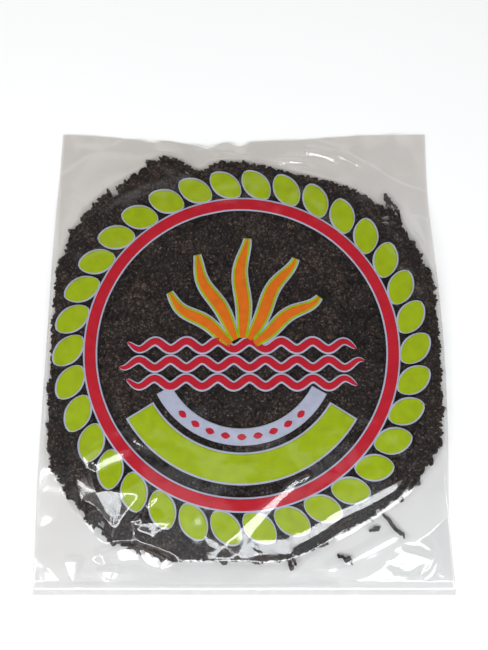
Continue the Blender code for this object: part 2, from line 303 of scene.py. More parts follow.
def slab_faces(rows, columns, round_along):
    """The faces of a grid's two sheets and the walls round them."""
    key = (rows, columns, round_along)
    if key in known_slabs:
        return known_slabs[key]
    sheet = rows * columns
    faces = []
    for row in range(rows if round_along else rows - 1):
        after = (row + 1) % rows
        for column in range(columns - 1):
            a = row * columns + column
            d = after * columns + column
            faces.append((a, d, d + 1, a + 1))
            faces.append((sheet + a, sheet + a + 1, sheet + d + 1, sheet + d))
        for a, d, flip in ((row * columns, after * columns, False),
                           (row * columns + columns - 1, after * columns + columns - 1, True)):
            wall = (a, sheet + a, sheet + d, d)
            faces.append(tuple(reversed(wall)) if flip else wall)
    if not round_along:
        for start, flip in ((0, True), ((rows - 1) * columns, False)):
            for column in range(columns - 1):
                a = start + column
                wall = (a, sheet + a, sheet + a + 1, a + 1)
                faces.append(tuple(reversed(wall)) if flip else wall)
    known_slabs[key] = faces
    return faces


def through(points, steps):
    """A smooth curve through given points, as this many even steps."""
    points = [np.array(point, float) for point in points]
    padded = [2 * points[0] - points[1]] + points + [2 * points[-1] - points[-2]]
    curve = []
    spans = len(points) - 1
    for step in range(steps + 1):
        at = min(step / steps * spans, spans - TINY)
        span = int(at)
        t = at - span
        a, b, c, d = padded[span:span + 4]
        bend = (2 * a - 5 * b + 4 * c - d) * t * t + (3 * b - a - 3 * c + d) * t ** 3
        curve.append(0.5 * (2 * b + (c - a) * t + bend))
    return np.array(curve)


def line_distance(x, y, route):
    """Distance from each place to a polyline, its side, how far along, 0 to 1, and the line's run."""
    route = np.array(route, float)
    best = np.full(np.shape(x), np.inf)
    side, along, along_x, along_y = np.zeros((4, *np.shape(x)))
    lengths = np.hypot(*(route[1:] - route[:-1]).T)
    total = lengths.sum()
    before = 0.0
    for (x0, y0), (x1, y1), length in zip(route[:-1], route[1:], lengths):
        run_x = (x1 - x0) / length
        run_y = (y1 - y0) / length
        ahead = np.clip((x - x0) * run_x + (y - y0) * run_y, 0.0, length)
        away = np.hypot(x - x0 - run_x * ahead, y - y0 - run_y * ahead)
        nearer = away < best
        best = np.where(nearer, away, best)
        turned = run_x * (y - y0) - run_y * (x - x0)
        side = np.where(nearer, np.sign(turned), side)
        along = np.where(nearer, (before + ahead) / total, along)
        along_x = np.where(nearer, run_x, along_x)
        along_y = np.where(nearer, run_y, along_y)
        before += length
    return best, side, along, along_x, along_y


# Materials

# Grain and clouds: scale, detail, roughness and distortion of each noise
NOISE_INPUTS = ("Scale", "Detail", "Roughness", "Distortion")
LAVER_BROAD = (70, 3, 0.6, 0.6)
LAVER_FINE = (520, 5, 0.75, 0.4)
LAVER_GRAIN = (1500, 6, 0.65, 0)
# The pale specks' noise: partly the laver's own pale bits, partly painted highlights on the fronds
LAVER_SPECKS_AND_HIGHLIGHTS = (800, 2, 0.5, 0)
FILM_CLOUD = (28, 2, 0.55, 0)
# The soft streaks in the film's tint: painted shading of soft wrinkles
FILM_SHADE_STREAKS = (90, 5, 0.6, 0.8)
FILM_COARSE = (260, 3, 0.5, 0)
FILM_FINE = (900, 3, 0.5, 0)
INK_BROAD = (180, 3, 0.55, 0)
INK_GRAIN = (2400, 2, 0.55, 0)
FLOOR_CLOUD = (3, 4, 0.55, 0)

# Relief that only the shading has: strength and depth
LAVER_LOW_BUMP = (0.8, 0.0012)
LAVER_HIGH_BUMP = (0.5, 0.0004)
FILM_COARSE_BUMP = (0.5, 0.00007)
FILM_FINE_BUMP = (0.4, 0.00004)
INK_BUMP = (0.15, 0.00004)

# Tones of dried laver: dark, middle, light and the pale specks. They are the laver's own mottling with its
# contrast raised as painted relief shading: the light tone and the pale specks are partly painted
# highlights on the fronds, and the dark tone is partly painted shade
LAVER_TONES_AND_PAINTED_RELIEF = ((0.004, 0.002, 0.002), (0.016, 0.0095, 0.0080), (0.135, 0.092, 0.070), (0.15, 0.11, 0.09))
# Crumbs: lighter and warmer than the cake, partly as painted glints
CRUMB_TONES_AND_GLINTS = ((0.010, 0.005, 0.004), (0.035, 0.024, 0.018), (0.14, 0.11, 0.08), (0.10, 0.08, 0.06))
LOOSE_TONES = ((0.006, 0.004, 0.003), (0.012, 0.008, 0.006), (0.040, 0.034, 0.018), (0.02, 0.02, 0.01))
LAVER_TONE_STOPS = (0.40, 0.52, 0.66)
LAVER_FINE_SHARE = 0.76
NO_SPECK_NOR_HIGHLIGHT = (0, 0, 0)
SPECK_AND_HIGHLIGHT_STOPS = (0.60, 0.70)
LAVER_ROUGHNESS = (0.36, 0.70)
LAVER_SHEEN = 0.18

# The film's tint, from the weld's colour to the mouth's along a slightly turned line: partly the film's own
# beige towards the mouth, partly a painted sheen that lightens the film towards the weld
FILM_TINT_AND_SHEEN_LOW = (0.918, 0.917, 0.916)
FILM_TINT_AND_SHEEN_MOUTH = (0.882, 0.868, 0.853)
FILM_TINT_AND_SHEEN_FROM = -0.10
FILM_TINT_AND_SHEEN_TO = 0.13
FILM_TINT_AND_SHEEN_WANDER = 0.35
FILM_TINT_AND_SHEEN_TURN = math.radians(-20)
FILM_SHADE_STREAK_STRETCH = (0.35, 1.3, 1.0)
FILM_HAZE = (0.8, 0.8, 0.8, 1.0)
FILM_HAZE_SHARE = 0.004
FILM_GLOSS = (1.0, 1.0, 1.0, 1.0)
FILM_ROUGHNESS = (0.08, 0.18)
FILM_MIRRORED = 0.07
GLANCE_BLEND = 0.5
GLANCE_POWER = 5

INK_THIN = 0.86
INK_STOPS = (0.3, 0.6)
INK_ROUGHNESS = (0.38, 0.55)
INK_SHEEN = 0.08


def feed(tree, socket, value):
    """A link into the socket from another node's output, or else its plain value."""
    if isinstance(value, bpy.types.NodeSocket):
        tree.links.new(value, socket)
    else:
        socket.default_value = value


def node(tree, kind, settings=None, **inputs):
    """A shader node with its settings, its values and its links."""
    made = tree.nodes.new(kind)
    for key, value in (settings or {}).items():
        setattr(made, key, value)
    for key, value in inputs.items():
        feed(tree, made.inputs[key.replace("_", " ")], value)
    return made


def material_nodes(name):
    """A new material, its empty node tree, and the object's own coordinates in that tree."""
    material = bpy.data.materials.new(name)
    material.use_nodes = True
    tree = material.node_tree
    tree.nodes.clear()
    return material, tree, node(tree, "ShaderNodeTexCoord").outputs["Object"]


def surfaced(material, tree, shader):
    node(tree, "ShaderNodeOutputMaterial", Surface=shader.outputs[0])
    return material


def joined(tree, kind, operation, *values):
    """The result of a maths node of this kind, fed with these values in order."""
    made = node(tree, kind, {"operation": operation})
    for socket, value in zip(made.inputs, values):
        feed(tree, socket, value)
    return made.outputs[0]


def mixed(tree, share, first, second):
    """Two shaders in one, with this share of the second."""
    made = node(tree, "ShaderNodeMixShader", Fac=share)
    feed(tree, made.inputs[1], first.outputs[0])
    feed(tree, made.inputs[2], second.outputs[0])
    return made


def noise_node(tree, place, kind):
    return node(tree, "ShaderNodeTexNoise", Vector=place, **dict(zip(NOISE_INPUTS, kind))).outputs["Fac"]


def bumped(tree, height, relief, **inputs):
    """The shading's normal with this height's relief in it."""
    made = node(tree, "ShaderNodeBump", Height=height, Strength=relief[0], Distance=relief[1], **inputs)
    return made.outputs["Normal"]


def spread(tree, value, ends, **inputs):
    """A value from 0 to 1, or between the inputs' own ends, spread between these ends."""
    made = node(tree, "ShaderNodeMapRange", Value=value, To_Min=ends[0], To_Max=ends[1], **inputs)
    return made.outputs["Result"]


def ramp(tree, value, stops, colours):
    """The value as a colour, with these colours at these stops along it."""
    made = node(tree, "ShaderNodeValToRGB", Fac=value)
    elements = made.color_ramp.elements
    while len(elements) < len(stops):
        elements.new(0.5)
    for element, at, colour in zip(elements, stops, colours):
        element.position = at
        element.color = (*colour, 1.0)
    return made.outputs["Color"]


def laver_material(name, dark, middle, light, speck_and_highlight):
    """Dried laver: near black with purple and olive tints, matted fine grain and a soft sheen. Its tone
    contrast and pale specks are partly painted shade and highlights on the fronds.
    """
    material, tree, place = material_nodes(name)
    broad = noise_node(tree, place, LAVER_BROAD)
    fine = noise_node(tree, place, LAVER_FINE)
    both = node(tree, "ShaderNodeMix", Factor=LAVER_FINE_SHARE, A=broad, B=fine).outputs["Result"]
    colour = ramp(tree, both, LAVER_TONE_STOPS, (dark, middle, light))
    # Pale specks added to the colour: partly painted highlights on the fronds
    specks_and_highlights = ramp(tree, noise_node(tree, place, LAVER_SPECKS_AND_HIGHLIGHTS), SPECK_AND_HIGHLIGHT_STOPS, (NO_SPECK_NOR_HIGHLIGHT, speck_and_highlight))
    speckled_and_highlighted = joined(tree, "ShaderNodeVectorMath", "ADD", colour, specks_and_highlights)
    low = bumped(tree, fine, LAVER_LOW_BUMP)
    high = bumped(tree, noise_node(tree, place, LAVER_GRAIN), LAVER_HIGH_BUMP, Normal=low)
    rough = spread(tree, fine, LAVER_ROUGHNESS)
    shader = node(tree, "ShaderNodeBsdfPrincipled", Base_Color=speckled_and_highlighted, Roughness=rough, Normal=high,
                  Specular_IOR_Level=LAVER_SHEEN)
    return surfaced(material, tree, shader)


def film_material():
    """Clear glossy film: nearly all light passes, with a faint tint and haze and a sharp gloss. The tint is
    partly a painted sheen that lightens it towards the weld, and its soft streaks are painted wrinkle
    shading.
    """
    material, tree, place = material_nodes("clear_film")
    maths = "ShaderNodeMath"
    turned = node(tree, "ShaderNodeMapping", Vector=place, Rotation=(0.0, 0.0, FILM_TINT_AND_SHEEN_TURN))
    along = node(tree, "ShaderNodeSeparateXYZ", Vector=turned.outputs["Vector"]).outputs["Y"]
    level = spread(tree, along, (0.0, 1.0 - FILM_TINT_AND_SHEEN_WANDER),
                   From_Min=FILM_TINT_AND_SHEEN_FROM, From_Max=FILM_TINT_AND_SHEEN_TO)
    # Soft streaks stretched across the film and added to its tint: painted shading of soft wrinkles
    stretched = node(tree, "ShaderNodeMapping", Vector=place, Scale=FILM_SHADE_STREAK_STRETCH)
    shade_streaks = noise_node(tree, stretched.outputs["Vector"], FILM_SHADE_STREAKS)
    clouds_and_shade_streaks = joined(tree, maths, "ADD", noise_node(tree, place, FILM_CLOUD), shade_streaks)
    wander = joined(tree, maths, "MULTIPLY_ADD", clouds_and_shade_streaks, FILM_TINT_AND_SHEEN_WANDER, level)
    # The tint's ramp: the film's own beige towards the mouth, and a painted sheen that lightens it towards
    # the weld
    tint_and_sheen = ramp(tree, wander, (FILM_TINT_AND_SHEEN_WANDER, 1.0), (FILM_TINT_AND_SHEEN_LOW, FILM_TINT_AND_SHEEN_MOUTH))
    coarse = noise_node(tree, place, FILM_COARSE)
    low = bumped(tree, coarse, FILM_COARSE_BUMP)
    normal = bumped(tree, noise_node(tree, place, FILM_FINE), FILM_FINE_BUMP, Normal=low)
    clear = node(tree, "ShaderNodeBsdfTransparent", Color=tint_and_sheen)
    haze = node(tree, "ShaderNodeBsdfDiffuse", Color=FILM_HAZE, Normal=normal)
    rough = spread(tree, coarse, FILM_ROUGHNESS)
    gloss = node(tree, "ShaderNodeBsdfAnisotropic", Color=FILM_GLOSS, Roughness=rough, Normal=normal)
    glance = node(tree, "ShaderNodeLayerWeight", Blend=GLANCE_BLEND, Normal=normal)
    steep = joined(tree, maths, "POWER", glance.outputs["Facing"], GLANCE_POWER)
    share = joined(tree, maths, "MULTIPLY_ADD", steep, 1.0 - FILM_MIRRORED, FILM_MIRRORED)
    return surfaced(material, tree, mixed(tree, share, mixed(tree, FILM_HAZE_SHARE, clear, haze), gloss))


def ink_material(name, colour):
    """Ink printed on film: an even colour with slight unevenness and a smooth face."""
    material, tree, place = material_nodes(name)
    thin = tuple(channel * INK_THIN for channel in colour)
    tinted = ramp(tree, noise_node(tree, place, INK_BROAD), INK_STOPS, (thin, colour))
    grain = noise_node(tree, place, INK_GRAIN)
    shader = node(tree, "ShaderNodeBsdfPrincipled", Base_Color=tinted, Normal=bumped(tree, grain, INK_BUMP),
                  Roughness=spread(tree, grain, INK_ROUGHNESS), Specular_IOR_Level=INK_SHEEN)
    return surfaced(material, tree, shader)


# The cake

RIM_WANDER = 0.0013
RIM_WANDER_CELLS = 18
RIM_WANDER_LAYER = 3
RIM_FINE_SHARE = 0.3
UNDERSIDE_FINE_SHARE = 0.4
FINE_SHARPNESS = 2.2
LEAST_THICKNESS = 0.0005


def worn_through(x, y, reach):
    """How near each place is to a pinhole, 0 to 1, and whether it is inside one."""
    near = np.zeros(np.shape(x))
    inside = np.zeros(np.shape(x), bool)
    for at_x, at_y, radius in PINHOLES:
        away = np.hypot(x - at_x * MM, y - at_y * MM)
        near = np.maximum(near, bump(away, reach + radius * MM))
        inside |= away < radius * MM
    return near, inside


def cake_heights(x, y, angle, share, upper):
    """The finished heights of the cake's upper or lower face at these places."""
    low, top = cake_profile(share)
    inward = 1.0 - smooth((share - 1.0 + RIM_ROUNDING) / RIM_ROUNDING)
    wander = noise_round(angle, RIM_WANDER_CELLS, RIM_WANDER_LAYER) * RIM_WANDER * (1.0 - inward)
    coarse = crests_at(x if upper else -x, y, RELIEF_SIZE, RELIEF_WARP, 0.0)
    if upper:
        swell = SWELL * noise_at(x, y, SWELL_SIZE)
        height = top + (RELIEF * (coarse - 0.5) + swell) * inward
        sign = -1.0
    else:
        height = low + UNDERSIDE_RELIEF * (1.0 - coarse) * inward
        sign = UNDERSIDE_FINE_SHARE
    fading = RIM_FINE_SHARE + (1.0 - RIM_FINE_SHARE) * inward
    for size, depth, warp, layer in FINE_RELIEF:
        fine = crests_at(x, y, size, warp, layer if upper else -layer, FINE_SHARPNESS)
        height = height + sign * depth * (1.0 - fine) * fading
    return CAKE_BASE + height + wander


def round_grid(rings):
    """Direction and share of the radius for a square grid pulled into a round one."""
    steps = np.arange(-rings, rings + 1, dtype=float)
    column, row = np.meshgrid(steps, steps)
    ring = np.maximum(np.abs(column), np.abs(row))
    wide = np.abs(column) >= np.abs(row)
    safe_column = np.where(column == 0, 1.0, column)
    safe_row = np.where(row == 0, 1.0, row)
    flat = 0.25 * math.pi * row / safe_column + np.where(column < 0, math.pi, 0.0)
    steep = 0.5 * math.pi - 0.25 * math.pi * column / safe_row + np.where(row < 0, math.pi, 0.0)
    return np.where(wide, flat, steep), ring / rings


def make_cake(material):
    """The cake as two sheets on one grid, with walls round the rim and round each pinhole."""
    angle, share = round_grid(CAKE_RINGS)
    reach = ragged_outline(angle) * share
    x, y = around(angle, reach)
    top = cake_heights(x, y, angle, share, True)
    low = cake_heights(x, y, angle, share, False)
    near, inside = worn_through(x, y, PINHOLE_BAY)
    middle = CAKE_BASE + RIM_MIDDLE
    thin = 1.0 - PINHOLE_THINNING * near
    top = middle + (top - middle) * thin
    low = middle + (low - middle) * thin
    top = np.maximum(top, low + LEAST_THICKNESS)
    side = 2 * CAKE_RINGS + 1
    sheet = side * side
    cell_holed = inside[:-1, :-1] | inside[1:, :-1] | inside[:-1, 1:] | inside[1:, 1:]
    cell_holed &= share[:-1, :-1] < 1.0
    faces = []
    walls = {}
    for row, column in zip(*np.nonzero(~cell_holed)):
        a = int(row) * side + int(column)
        corners = (a, a + 1, a + side + 1, a + side)
        faces.append(corners)
        faces.append(tuple(sheet + corner for corner in reversed(corners)))
        for here, there in zip(corners, corners[1:] + corners[:1]):
            if (there, here) in walls:
                del walls[(there, here)]
            else:
                walls[(here, there)] = True
    for here, there in walls:
        faces.append((here, sheet + here, sheet + there, there))
    jitter = [CAKE_JITTER * noise_at(x, y, CAKE_JITTER_SIZE, layer) for layer in CAKE_JITTER_LAYERS]
    used = sorted({corner % sheet for face in faces for corner in face})
    renumber = {old: new for new, old in enumerate(used)}
    both = {old + sheet: new + len(used) for old, new in renumber.items()}
    both.update(renumber)
    faces = [tuple(both[corner] for corner in face) for face in faces]
    used = np.array(used)
    flat = [np.ravel(x + jitter[0])[used], np.ravel(y + jitter[1])[used]]
    points = np.concatenate([np.stack(flat + [np.ravel(z)[used]], -1) for z in (top, low)])
    soup = Soup()
    soup.add(points, faces)
    return soup.make("laver_cake", material)


# Fronds

SEED = 57
MAIN_RIM_FRONDS = 42
MAIN_TOP_FRONDS = 25
MAIN_FROND_STEPS = 22
MAIN_FROND_LIFT = 0.0009
MAIN_HOLE_MARGIN = 0.4
FROND_BULGE_FROM = 0.14
FROND_BULGE_SPAN = 0.83
FROND_TIP_SHARE = 0.16
FROND_JITTER = 0.3
RIM_FROND_INSIDE = (0.012, 0.016)
RIM_FROND_OUTSIDE = (0.0014, 0.0042)
RIM_FROND_WIDTH = (0.006, 0.011)
RIM_FROND_SWIRL = 0.07
RIM_FROND_LOW = (0.0006, 0.0015)
RIM_FROND_RISE = (-0.0003, 0.0004)
RIM_FROND_FROM_FOLD = 0.0022
TOP_FROND_LENGTH = (0.024, 0.036)
TOP_FROND_WIDTH = (0.008, 0.014)
TOP_FROND_BEND = 0.6
TOP_FROND_SUNK = 0.0030
TOP_FROND_OVER = 0.0014
TOP_FROND_SPREAD = 0.74
GOLDEN_TURN = math.pi * (3.0 - math.sqrt(5.0))

# Kinds of blade: ripple, thickness, columns and raggedness
MAIN_BLADE = (0.0004, 0.0003, 5, 0.35)
RIM_BLADE = (0.0003, 0.00028, 3, 0.5)
TOP_BLADE = (0.0004, 0.00028, 4, 0.5)
LOW_BLADE = (0.0002, 0.00028, 4, 0.4)
LOOSE_BLADE = (0.0004, 0.00045, 6, 0.6)
BLADE_WAVES = (1.2, 2.6)
BLADE_WAVE_LEAN = 1.4
BLADE_EDGE_CELLS = 5.3
BLADE_EDGE_APART = 9.1
BLADE_EDGE_SHIFT = 90.0

# Small fronds: each range from least to most
SMALL_RIM_FRONDS = 520
SMALL_TOP_FRONDS = 820
SMALL_LOW_FRONDS = 260
SMALL_FROND_STEPS = 7
SMALL_HOLE_MARGIN = 0.5
SMALL_SPREAD = 0.93
SMALL_JITTER = 0.5
SMALL_RIM_INSIDE = (0.003, 0.007)
SMALL_RIM_OUTSIDE = (-0.0006, 0.0022)
SMALL_RIM_SWIRL = (-0.03, 0.03)
SMALL_RIM_ROOT = (0.0010, 0.0050)
SMALL_RIM_TIP = (0.0004, 0.0038)
SMALL_RIM_WIDTH = (0.0018, 0.0050)
SMALL_TOP_CREST = (0.0, 0.0012)
SMALL_TOP_LENGTH = (0.005, 0.013)
SMALL_TOP_BEND = (-1.4, 1.4)
SMALL_TOP_SUNK = (0.0008, 0.0018)
SMALL_TOP_WIDTH = (0.0022, 0.0055)
SMALL_LOW_BEND = (-1.2, 1.2)
SMALL_LOW_LENGTH = (0.007, 0.018)
SMALL_LOW_CREST = (0.0002, 0.0006)
SMALL_LOW_SUNK = -0.0009
SMALL_LOW_WIDTH = (0.003, 0.007)


def beside(route, offset, closed=False):
    """The places that lie these offsets to the left of a route's points."""
    if closed:
        runs = np.roll(route, -1, 0) - np.roll(route, 1, 0)
    else:
        runs = np.gradient(route, axis=0)
    runs = runs / np.maximum(np.hypot(runs[:, 0], runs[:, 1]), TINY)[:, None]
    return route[:, 0:1] - runs[:, 1:2] * offset, route[:, 1:2] + runs[:, 0:1] * offset


def add_blade(soup, places, heights, width, draw, kind):
    """A closed rippled blade with ragged edges; heights are those of its upper face."""
    ripple, thickness, columns, ragged = kind
    places = np.asarray(places, float)
    along = np.linspace(0.0, 1.0, len(places))
    bulge = np.sin(math.pi * (FROND_BULGE_FROM + FROND_BULGE_SPAN * along))
    half = 0.5 * width * (FROND_TIP_SHARE + (1.0 - FROND_TIP_SHARE) * bulge)
    phase = draw.uniform(0.0, TURN)
    waves = draw.uniform(*BLADE_WAVES)
    shift = draw.uniform(0.0, BLADE_EDGE_SHIFT)
    across = np.linspace(-1.0, 1.0, columns)[None, :]
    edges = [[noise.noise((s * BLADE_EDGE_CELLS + shift, side, shift)) for s in along]
             for side in (-BLADE_EDGE_APART, BLADE_EDGE_APART)]
    left, right = np.array(edges)[:, :, None]
    wide = np.where(across < 0, left, right)
    offset = across * half[:, None] * (1.0 + ragged * 2.0 * wide * np.abs(across))
    x, y = beside(places, offset)
    wave = np.sin(phase + along[:, None] * waves * TURN + across * BLADE_WAVE_LEAN)
    top = np.asarray(heights)[:, None] + ripple * wave * np.abs(across)
    soup.slab(x, y, top, top - thickness)


def over_hole(places, margin):
    """Whether any of these places lies over a pinhole, which stays open."""
    return any(math.hypot(x - at_x * MM, y - at_y * MM) < radius * MM + margin
               for at_x, at_y, radius in PINHOLES for x, y in places)


def around(angle, reach):
    """The place in this direction from the cake's centre."""
    return CAKE_X + np.cos(angle) * reach, CAKE_Y + np.sin(angle) * reach


def arched(middle, heading, bend, length, crest, sunk, steps):
    """A bent route about its middle, with its crest there and both ends sunk."""
    along = np.arange(steps + 1) / steps - 0.5
    turned = heading + bend * along
    x = middle[0] + np.cos(turned) * length * along
    y = middle[1] + np.sin(turned) * length * along
    return np.stack([x, y], -1), crest - sunk * (2.0 * along) ** 2


def main_fronds(rim_soup, top_soup):
    """The large fronds, drawn in the solids' own order so that they lie where the solids have them."""
    draw = random.Random(SEED)
    looks = random.Random(SEED + 1)
    for number in range(MAIN_RIM_FRONDS):
        angle = TURN * (number + draw.uniform(-FROND_JITTER, FROND_JITTER)) / MAIN_RIM_FRONDS
        inside = draw.uniform(*RIM_FROND_INSIDE)
        outside = draw.uniform(*RIM_FROND_OUTSIDE)
        swirl = draw.uniform(-RIM_FROND_SWIRL, RIM_FROND_SWIRL)
        start = float(ragged_outline(np.float64(angle), SOLID_LAYERS, SOLID_FROM_FOLD)) - inside
        places = []
        for step in range(MAIN_FROND_STEPS + 1):
            along = step / MAIN_FROND_STEPS
            turned = angle + swirl * along * along
            limit = float(reach_to_fold(turned, CAKE_TO_FOLD + RIM_FROND_FROM_FOLD))
            places.append(around(turned, min(start + (inside + outside) * along, limit)))
        low = CAKE_BASE + draw.uniform(*RIM_FROND_LOW)
        rise = draw.uniform(*RIM_FROND_RISE)
        width = draw.uniform(*RIM_FROND_WIDTH)
        heights = low + MAIN_FROND_LIFT + rise * np.linspace(0.0, 1.0, MAIN_FROND_STEPS + 1)
        if not over_hole(places, MAIN_HOLE_MARGIN * width):
            add_blade(rim_soup, places, heights, width, looks, MAIN_BLADE)
    for number in range(MAIN_TOP_FRONDS):
        reach = CAKE_RADIUS * math.sqrt((number + 0.5) / MAIN_TOP_FRONDS) * TOP_FROND_SPREAD
        middle = around(GOLDEN_TURN * number + draw.uniform(-FROND_JITTER, FROND_JITTER), reach)
        heading = draw.uniform(0.0, TURN)
        bend = draw.uniform(-TOP_FROND_BEND, TOP_FROND_BEND)
        length = draw.uniform(*TOP_FROND_LENGTH)
        width = draw.uniform(*TOP_FROND_WIDTH)
        crest = float(cake_top(*middle)) + TOP_FROND_OVER
        places, heights = arched(middle, heading, bend, length, crest, TOP_FROND_SUNK, MAIN_FROND_STEPS)
        add_blade(top_soup, places, heights, width, looks, MAIN_BLADE)


def rim_places(angles):
    """Each direction, with the reach there to the ragged rim and to the side fold."""
    angles = np.array(angles)
    limits = reach_to_fold(angles, RAGGED_FROM_FOLD)
    return zip(angles.tolist(), ragged_outline(angles).tolist(), limits.tolist())


def small_rim_fronds(soup):
    """Broken frond ends all round the rim, which make its teeth."""
    draw = random.Random(SEED + 2)
    steps = SMALL_FROND_STEPS
    angles = [TURN * (number + draw.uniform(-SMALL_JITTER, SMALL_JITTER)) / SMALL_RIM_FRONDS
              for number in range(SMALL_RIM_FRONDS)]
    for angle, rim, limit in rim_places(angles):
        inside = draw.uniform(*SMALL_RIM_INSIDE)
        outside = draw.uniform(*SMALL_RIM_OUTSIDE)
        swirl = draw.uniform(*SMALL_RIM_SWIRL)
        end = min(rim + outside, limit)
        places = [around(angle + swirl * (s / steps) ** 2, rim - inside + (end - rim + inside) * s / steps)
                  for s in range(steps + 1)]
        root = CAKE_BASE + draw.uniform(*SMALL_RIM_ROOT)
        tip = CAKE_BASE + draw.uniform(*SMALL_RIM_TIP)
        heights = root + (tip - root) * np.linspace(0.0, 1.0, steps + 1)
        width = draw.uniform(*SMALL_RIM_WIDTH)
        if not over_hole(places, SMALL_HOLE_MARGIN * width):
            add_blade(soup, places, heights, width, draw, RIM_BLADE)


def scattered(draw, number, count):
    """A place on the cake for one of this many small fronds, spread evenly along a spiral."""
    share = math.sqrt((number + draw.random()) / count) * SMALL_SPREAD
    angle = GOLDEN_TURN * number + draw.uniform(-SMALL_JITTER, SMALL_JITTER)
    return around(angle, float(cake_outline(np.float64(angle))) * share)


def small_top_fronds(soup):
    """Small crinkled fronds dried onto the upper face."""
    draw = random.Random(SEED + 3)
    for number in range(SMALL_TOP_FRONDS):
        middle = scattered(draw, number, SMALL_TOP_FRONDS)
        crest = float(cake_top(*middle)) + draw.uniform(*SMALL_TOP_CREST)
        length = draw.uniform(*SMALL_TOP_LENGTH)
        heading = draw.uniform(0.0, TURN)
        bend = draw.uniform(*SMALL_TOP_BEND)
        sunk = draw.uniform(*SMALL_TOP_SUNK)
        places, heights = arched(middle, heading, bend, length, crest, sunk, SMALL_FROND_STEPS)
        width = draw.uniform(*SMALL_TOP_WIDTH)
        if not over_hole(places, SMALL_HOLE_MARGIN * width):
            add_blade(soup, places, heights, width, draw, TOP_BLADE)


def small_low_fronds(soup):
    """Small fronds pressed flat against the underside."""
    draw = random.Random(SEED + 4)
    for number in range(SMALL_LOW_FRONDS):
        middle = scattered(draw, number, SMALL_LOW_FRONDS)
        heading = draw.uniform(0.0, TURN)
        bend = draw.uniform(*SMALL_LOW_BEND)
        length = draw.uniform(*SMALL_LOW_LENGTH)
        crest = CAKE_BASE + draw.uniform(*SMALL_LOW_CREST)
        places, heights = arched(middle, heading, bend, length, crest, SMALL_LOW_SUNK, SMALL_FROND_STEPS)
        width = draw.uniform(*SMALL_LOW_WIDTH)
        if not over_hole(places, SMALL_HOLE_MARGIN * width):
            add_blade(soup, places, heights, width, draw, LOW_BLADE)


# Crumbs: broken bits of frond, all round the rim and over the upper face
RIM_CRUMBS = 1500
TOP_CRUMBS = 1500
CRUMB_SIDES = 6
CRUMB_RINGS = 3
CRUMB_RADIUS = (0.00045, 0.0013)
CRUMB_JITTER = 0.28
CRUMB_STRETCH = (0.8, 2.2)
CRUMB_FLATNESS = 0.7
CRUMB_LIFT = 0.0004
CRUMB_HIGHEST = 0.0011
RIM_CRUMB_PAST = (-0.0014, 0.0007)
RIM_CRUMB_RISE = (-0.0010, 0.0016)


def add_crumb(soup, centre, radius, draw, anywhere=False):
    """A small lumpy closed body: a ball of few sides with each point pushed in or out."""
    if not anywhere and over_hole([centre[:2]], 2.0 * radius):
        return
    turns = np.arange(CRUMB_SIDES) * TURN / CRUMB_SIDES + draw.uniform(0.0, TURN)
    points = [(0.0, 0.0, 1.0)]
    for ring in range(1, CRUMB_RINGS + 1):
        down = math.pi * ring / (CRUMB_RINGS + 1)
        out = math.sin(down)
        points += [(out * math.cos(turn), out * math.sin(turn), math.cos(down)) for turn in turns]
    points.append((0.0, 0.0, -1.0))
    stretch = draw.uniform(*CRUMB_STRETCH)
    heading = draw.uniform(0.0, TURN)
    cos, sin = math.cos(heading), math.sin(heading)
    placed = []
    for x, y, z in points:
        push = radius * (1.0 + draw.uniform(-CRUMB_JITTER, CRUMB_JITTER))
        x *= push * stretch
        y *= push
        z *= push * CRUMB_FLATNESS
        placed.append((centre[0] + x * cos - y * sin, centre[1] + x * sin + y * cos, centre[2] + z))
    soup.add(placed, crumb_faces())


def crumb_faces():
    """The faces of a crumb's two caps and of the bands between its rings."""
    last = CRUMB_SIDES * CRUMB_RINGS + 1
    faces = []
    for place in range(CRUMB_SIDES):
        after = (place + 1) % CRUMB_SIDES
        faces.append((0, 1 + place, 1 + after))
        faces.append((last, last - CRUMB_SIDES + after, last - CRUMB_SIDES + place))
        for ring in range(CRUMB_RINGS - 1):
            near = 1 + ring * CRUMB_SIDES
            far = near + CRUMB_SIDES
            faces.append((near + place, far + place, far + after, near + after))
    return faces


def rim_crumbs(soup):
    draw = random.Random(SEED + 8)
    angles = [draw.uniform(0.0, TURN) for number in range(RIM_CRUMBS)]
    for angle, rim, limit in rim_places(angles):
        radius = draw.uniform(*CRUMB_RADIUS)
        reach = min(rim + draw.uniform(*RIM_CRUMB_PAST), limit - radius)
        height = CAKE_BASE + RIM_MIDDLE + draw.uniform(*RIM_CRUMB_RISE)
        add_crumb(soup, (*around(angle, reach), height), radius, draw)


def top_crumbs(soup):
    draw = random.Random(SEED + 9)
    shares = [math.sqrt(draw.random()) * SMALL_SPREAD for number in range(TOP_CRUMBS)]
    angles = np.array([draw.uniform(0.0, TURN) for number in range(TOP_CRUMBS)])
    reaches = cake_outline(angles) * shares
    x, y = around(angles, reaches)
    heights = cake_heights(x, y, angles, reaches / cake_outline(angles), True) + CRUMB_LIFT
    heights = np.minimum(heights, cake_top(x, y) + CRUMB_HIGHEST)
    for centre in zip(x.tolist(), y.tolist(), heights.tolist()):
        add_crumb(soup, centre, draw.uniform(*CRUMB_RADIUS), draw)


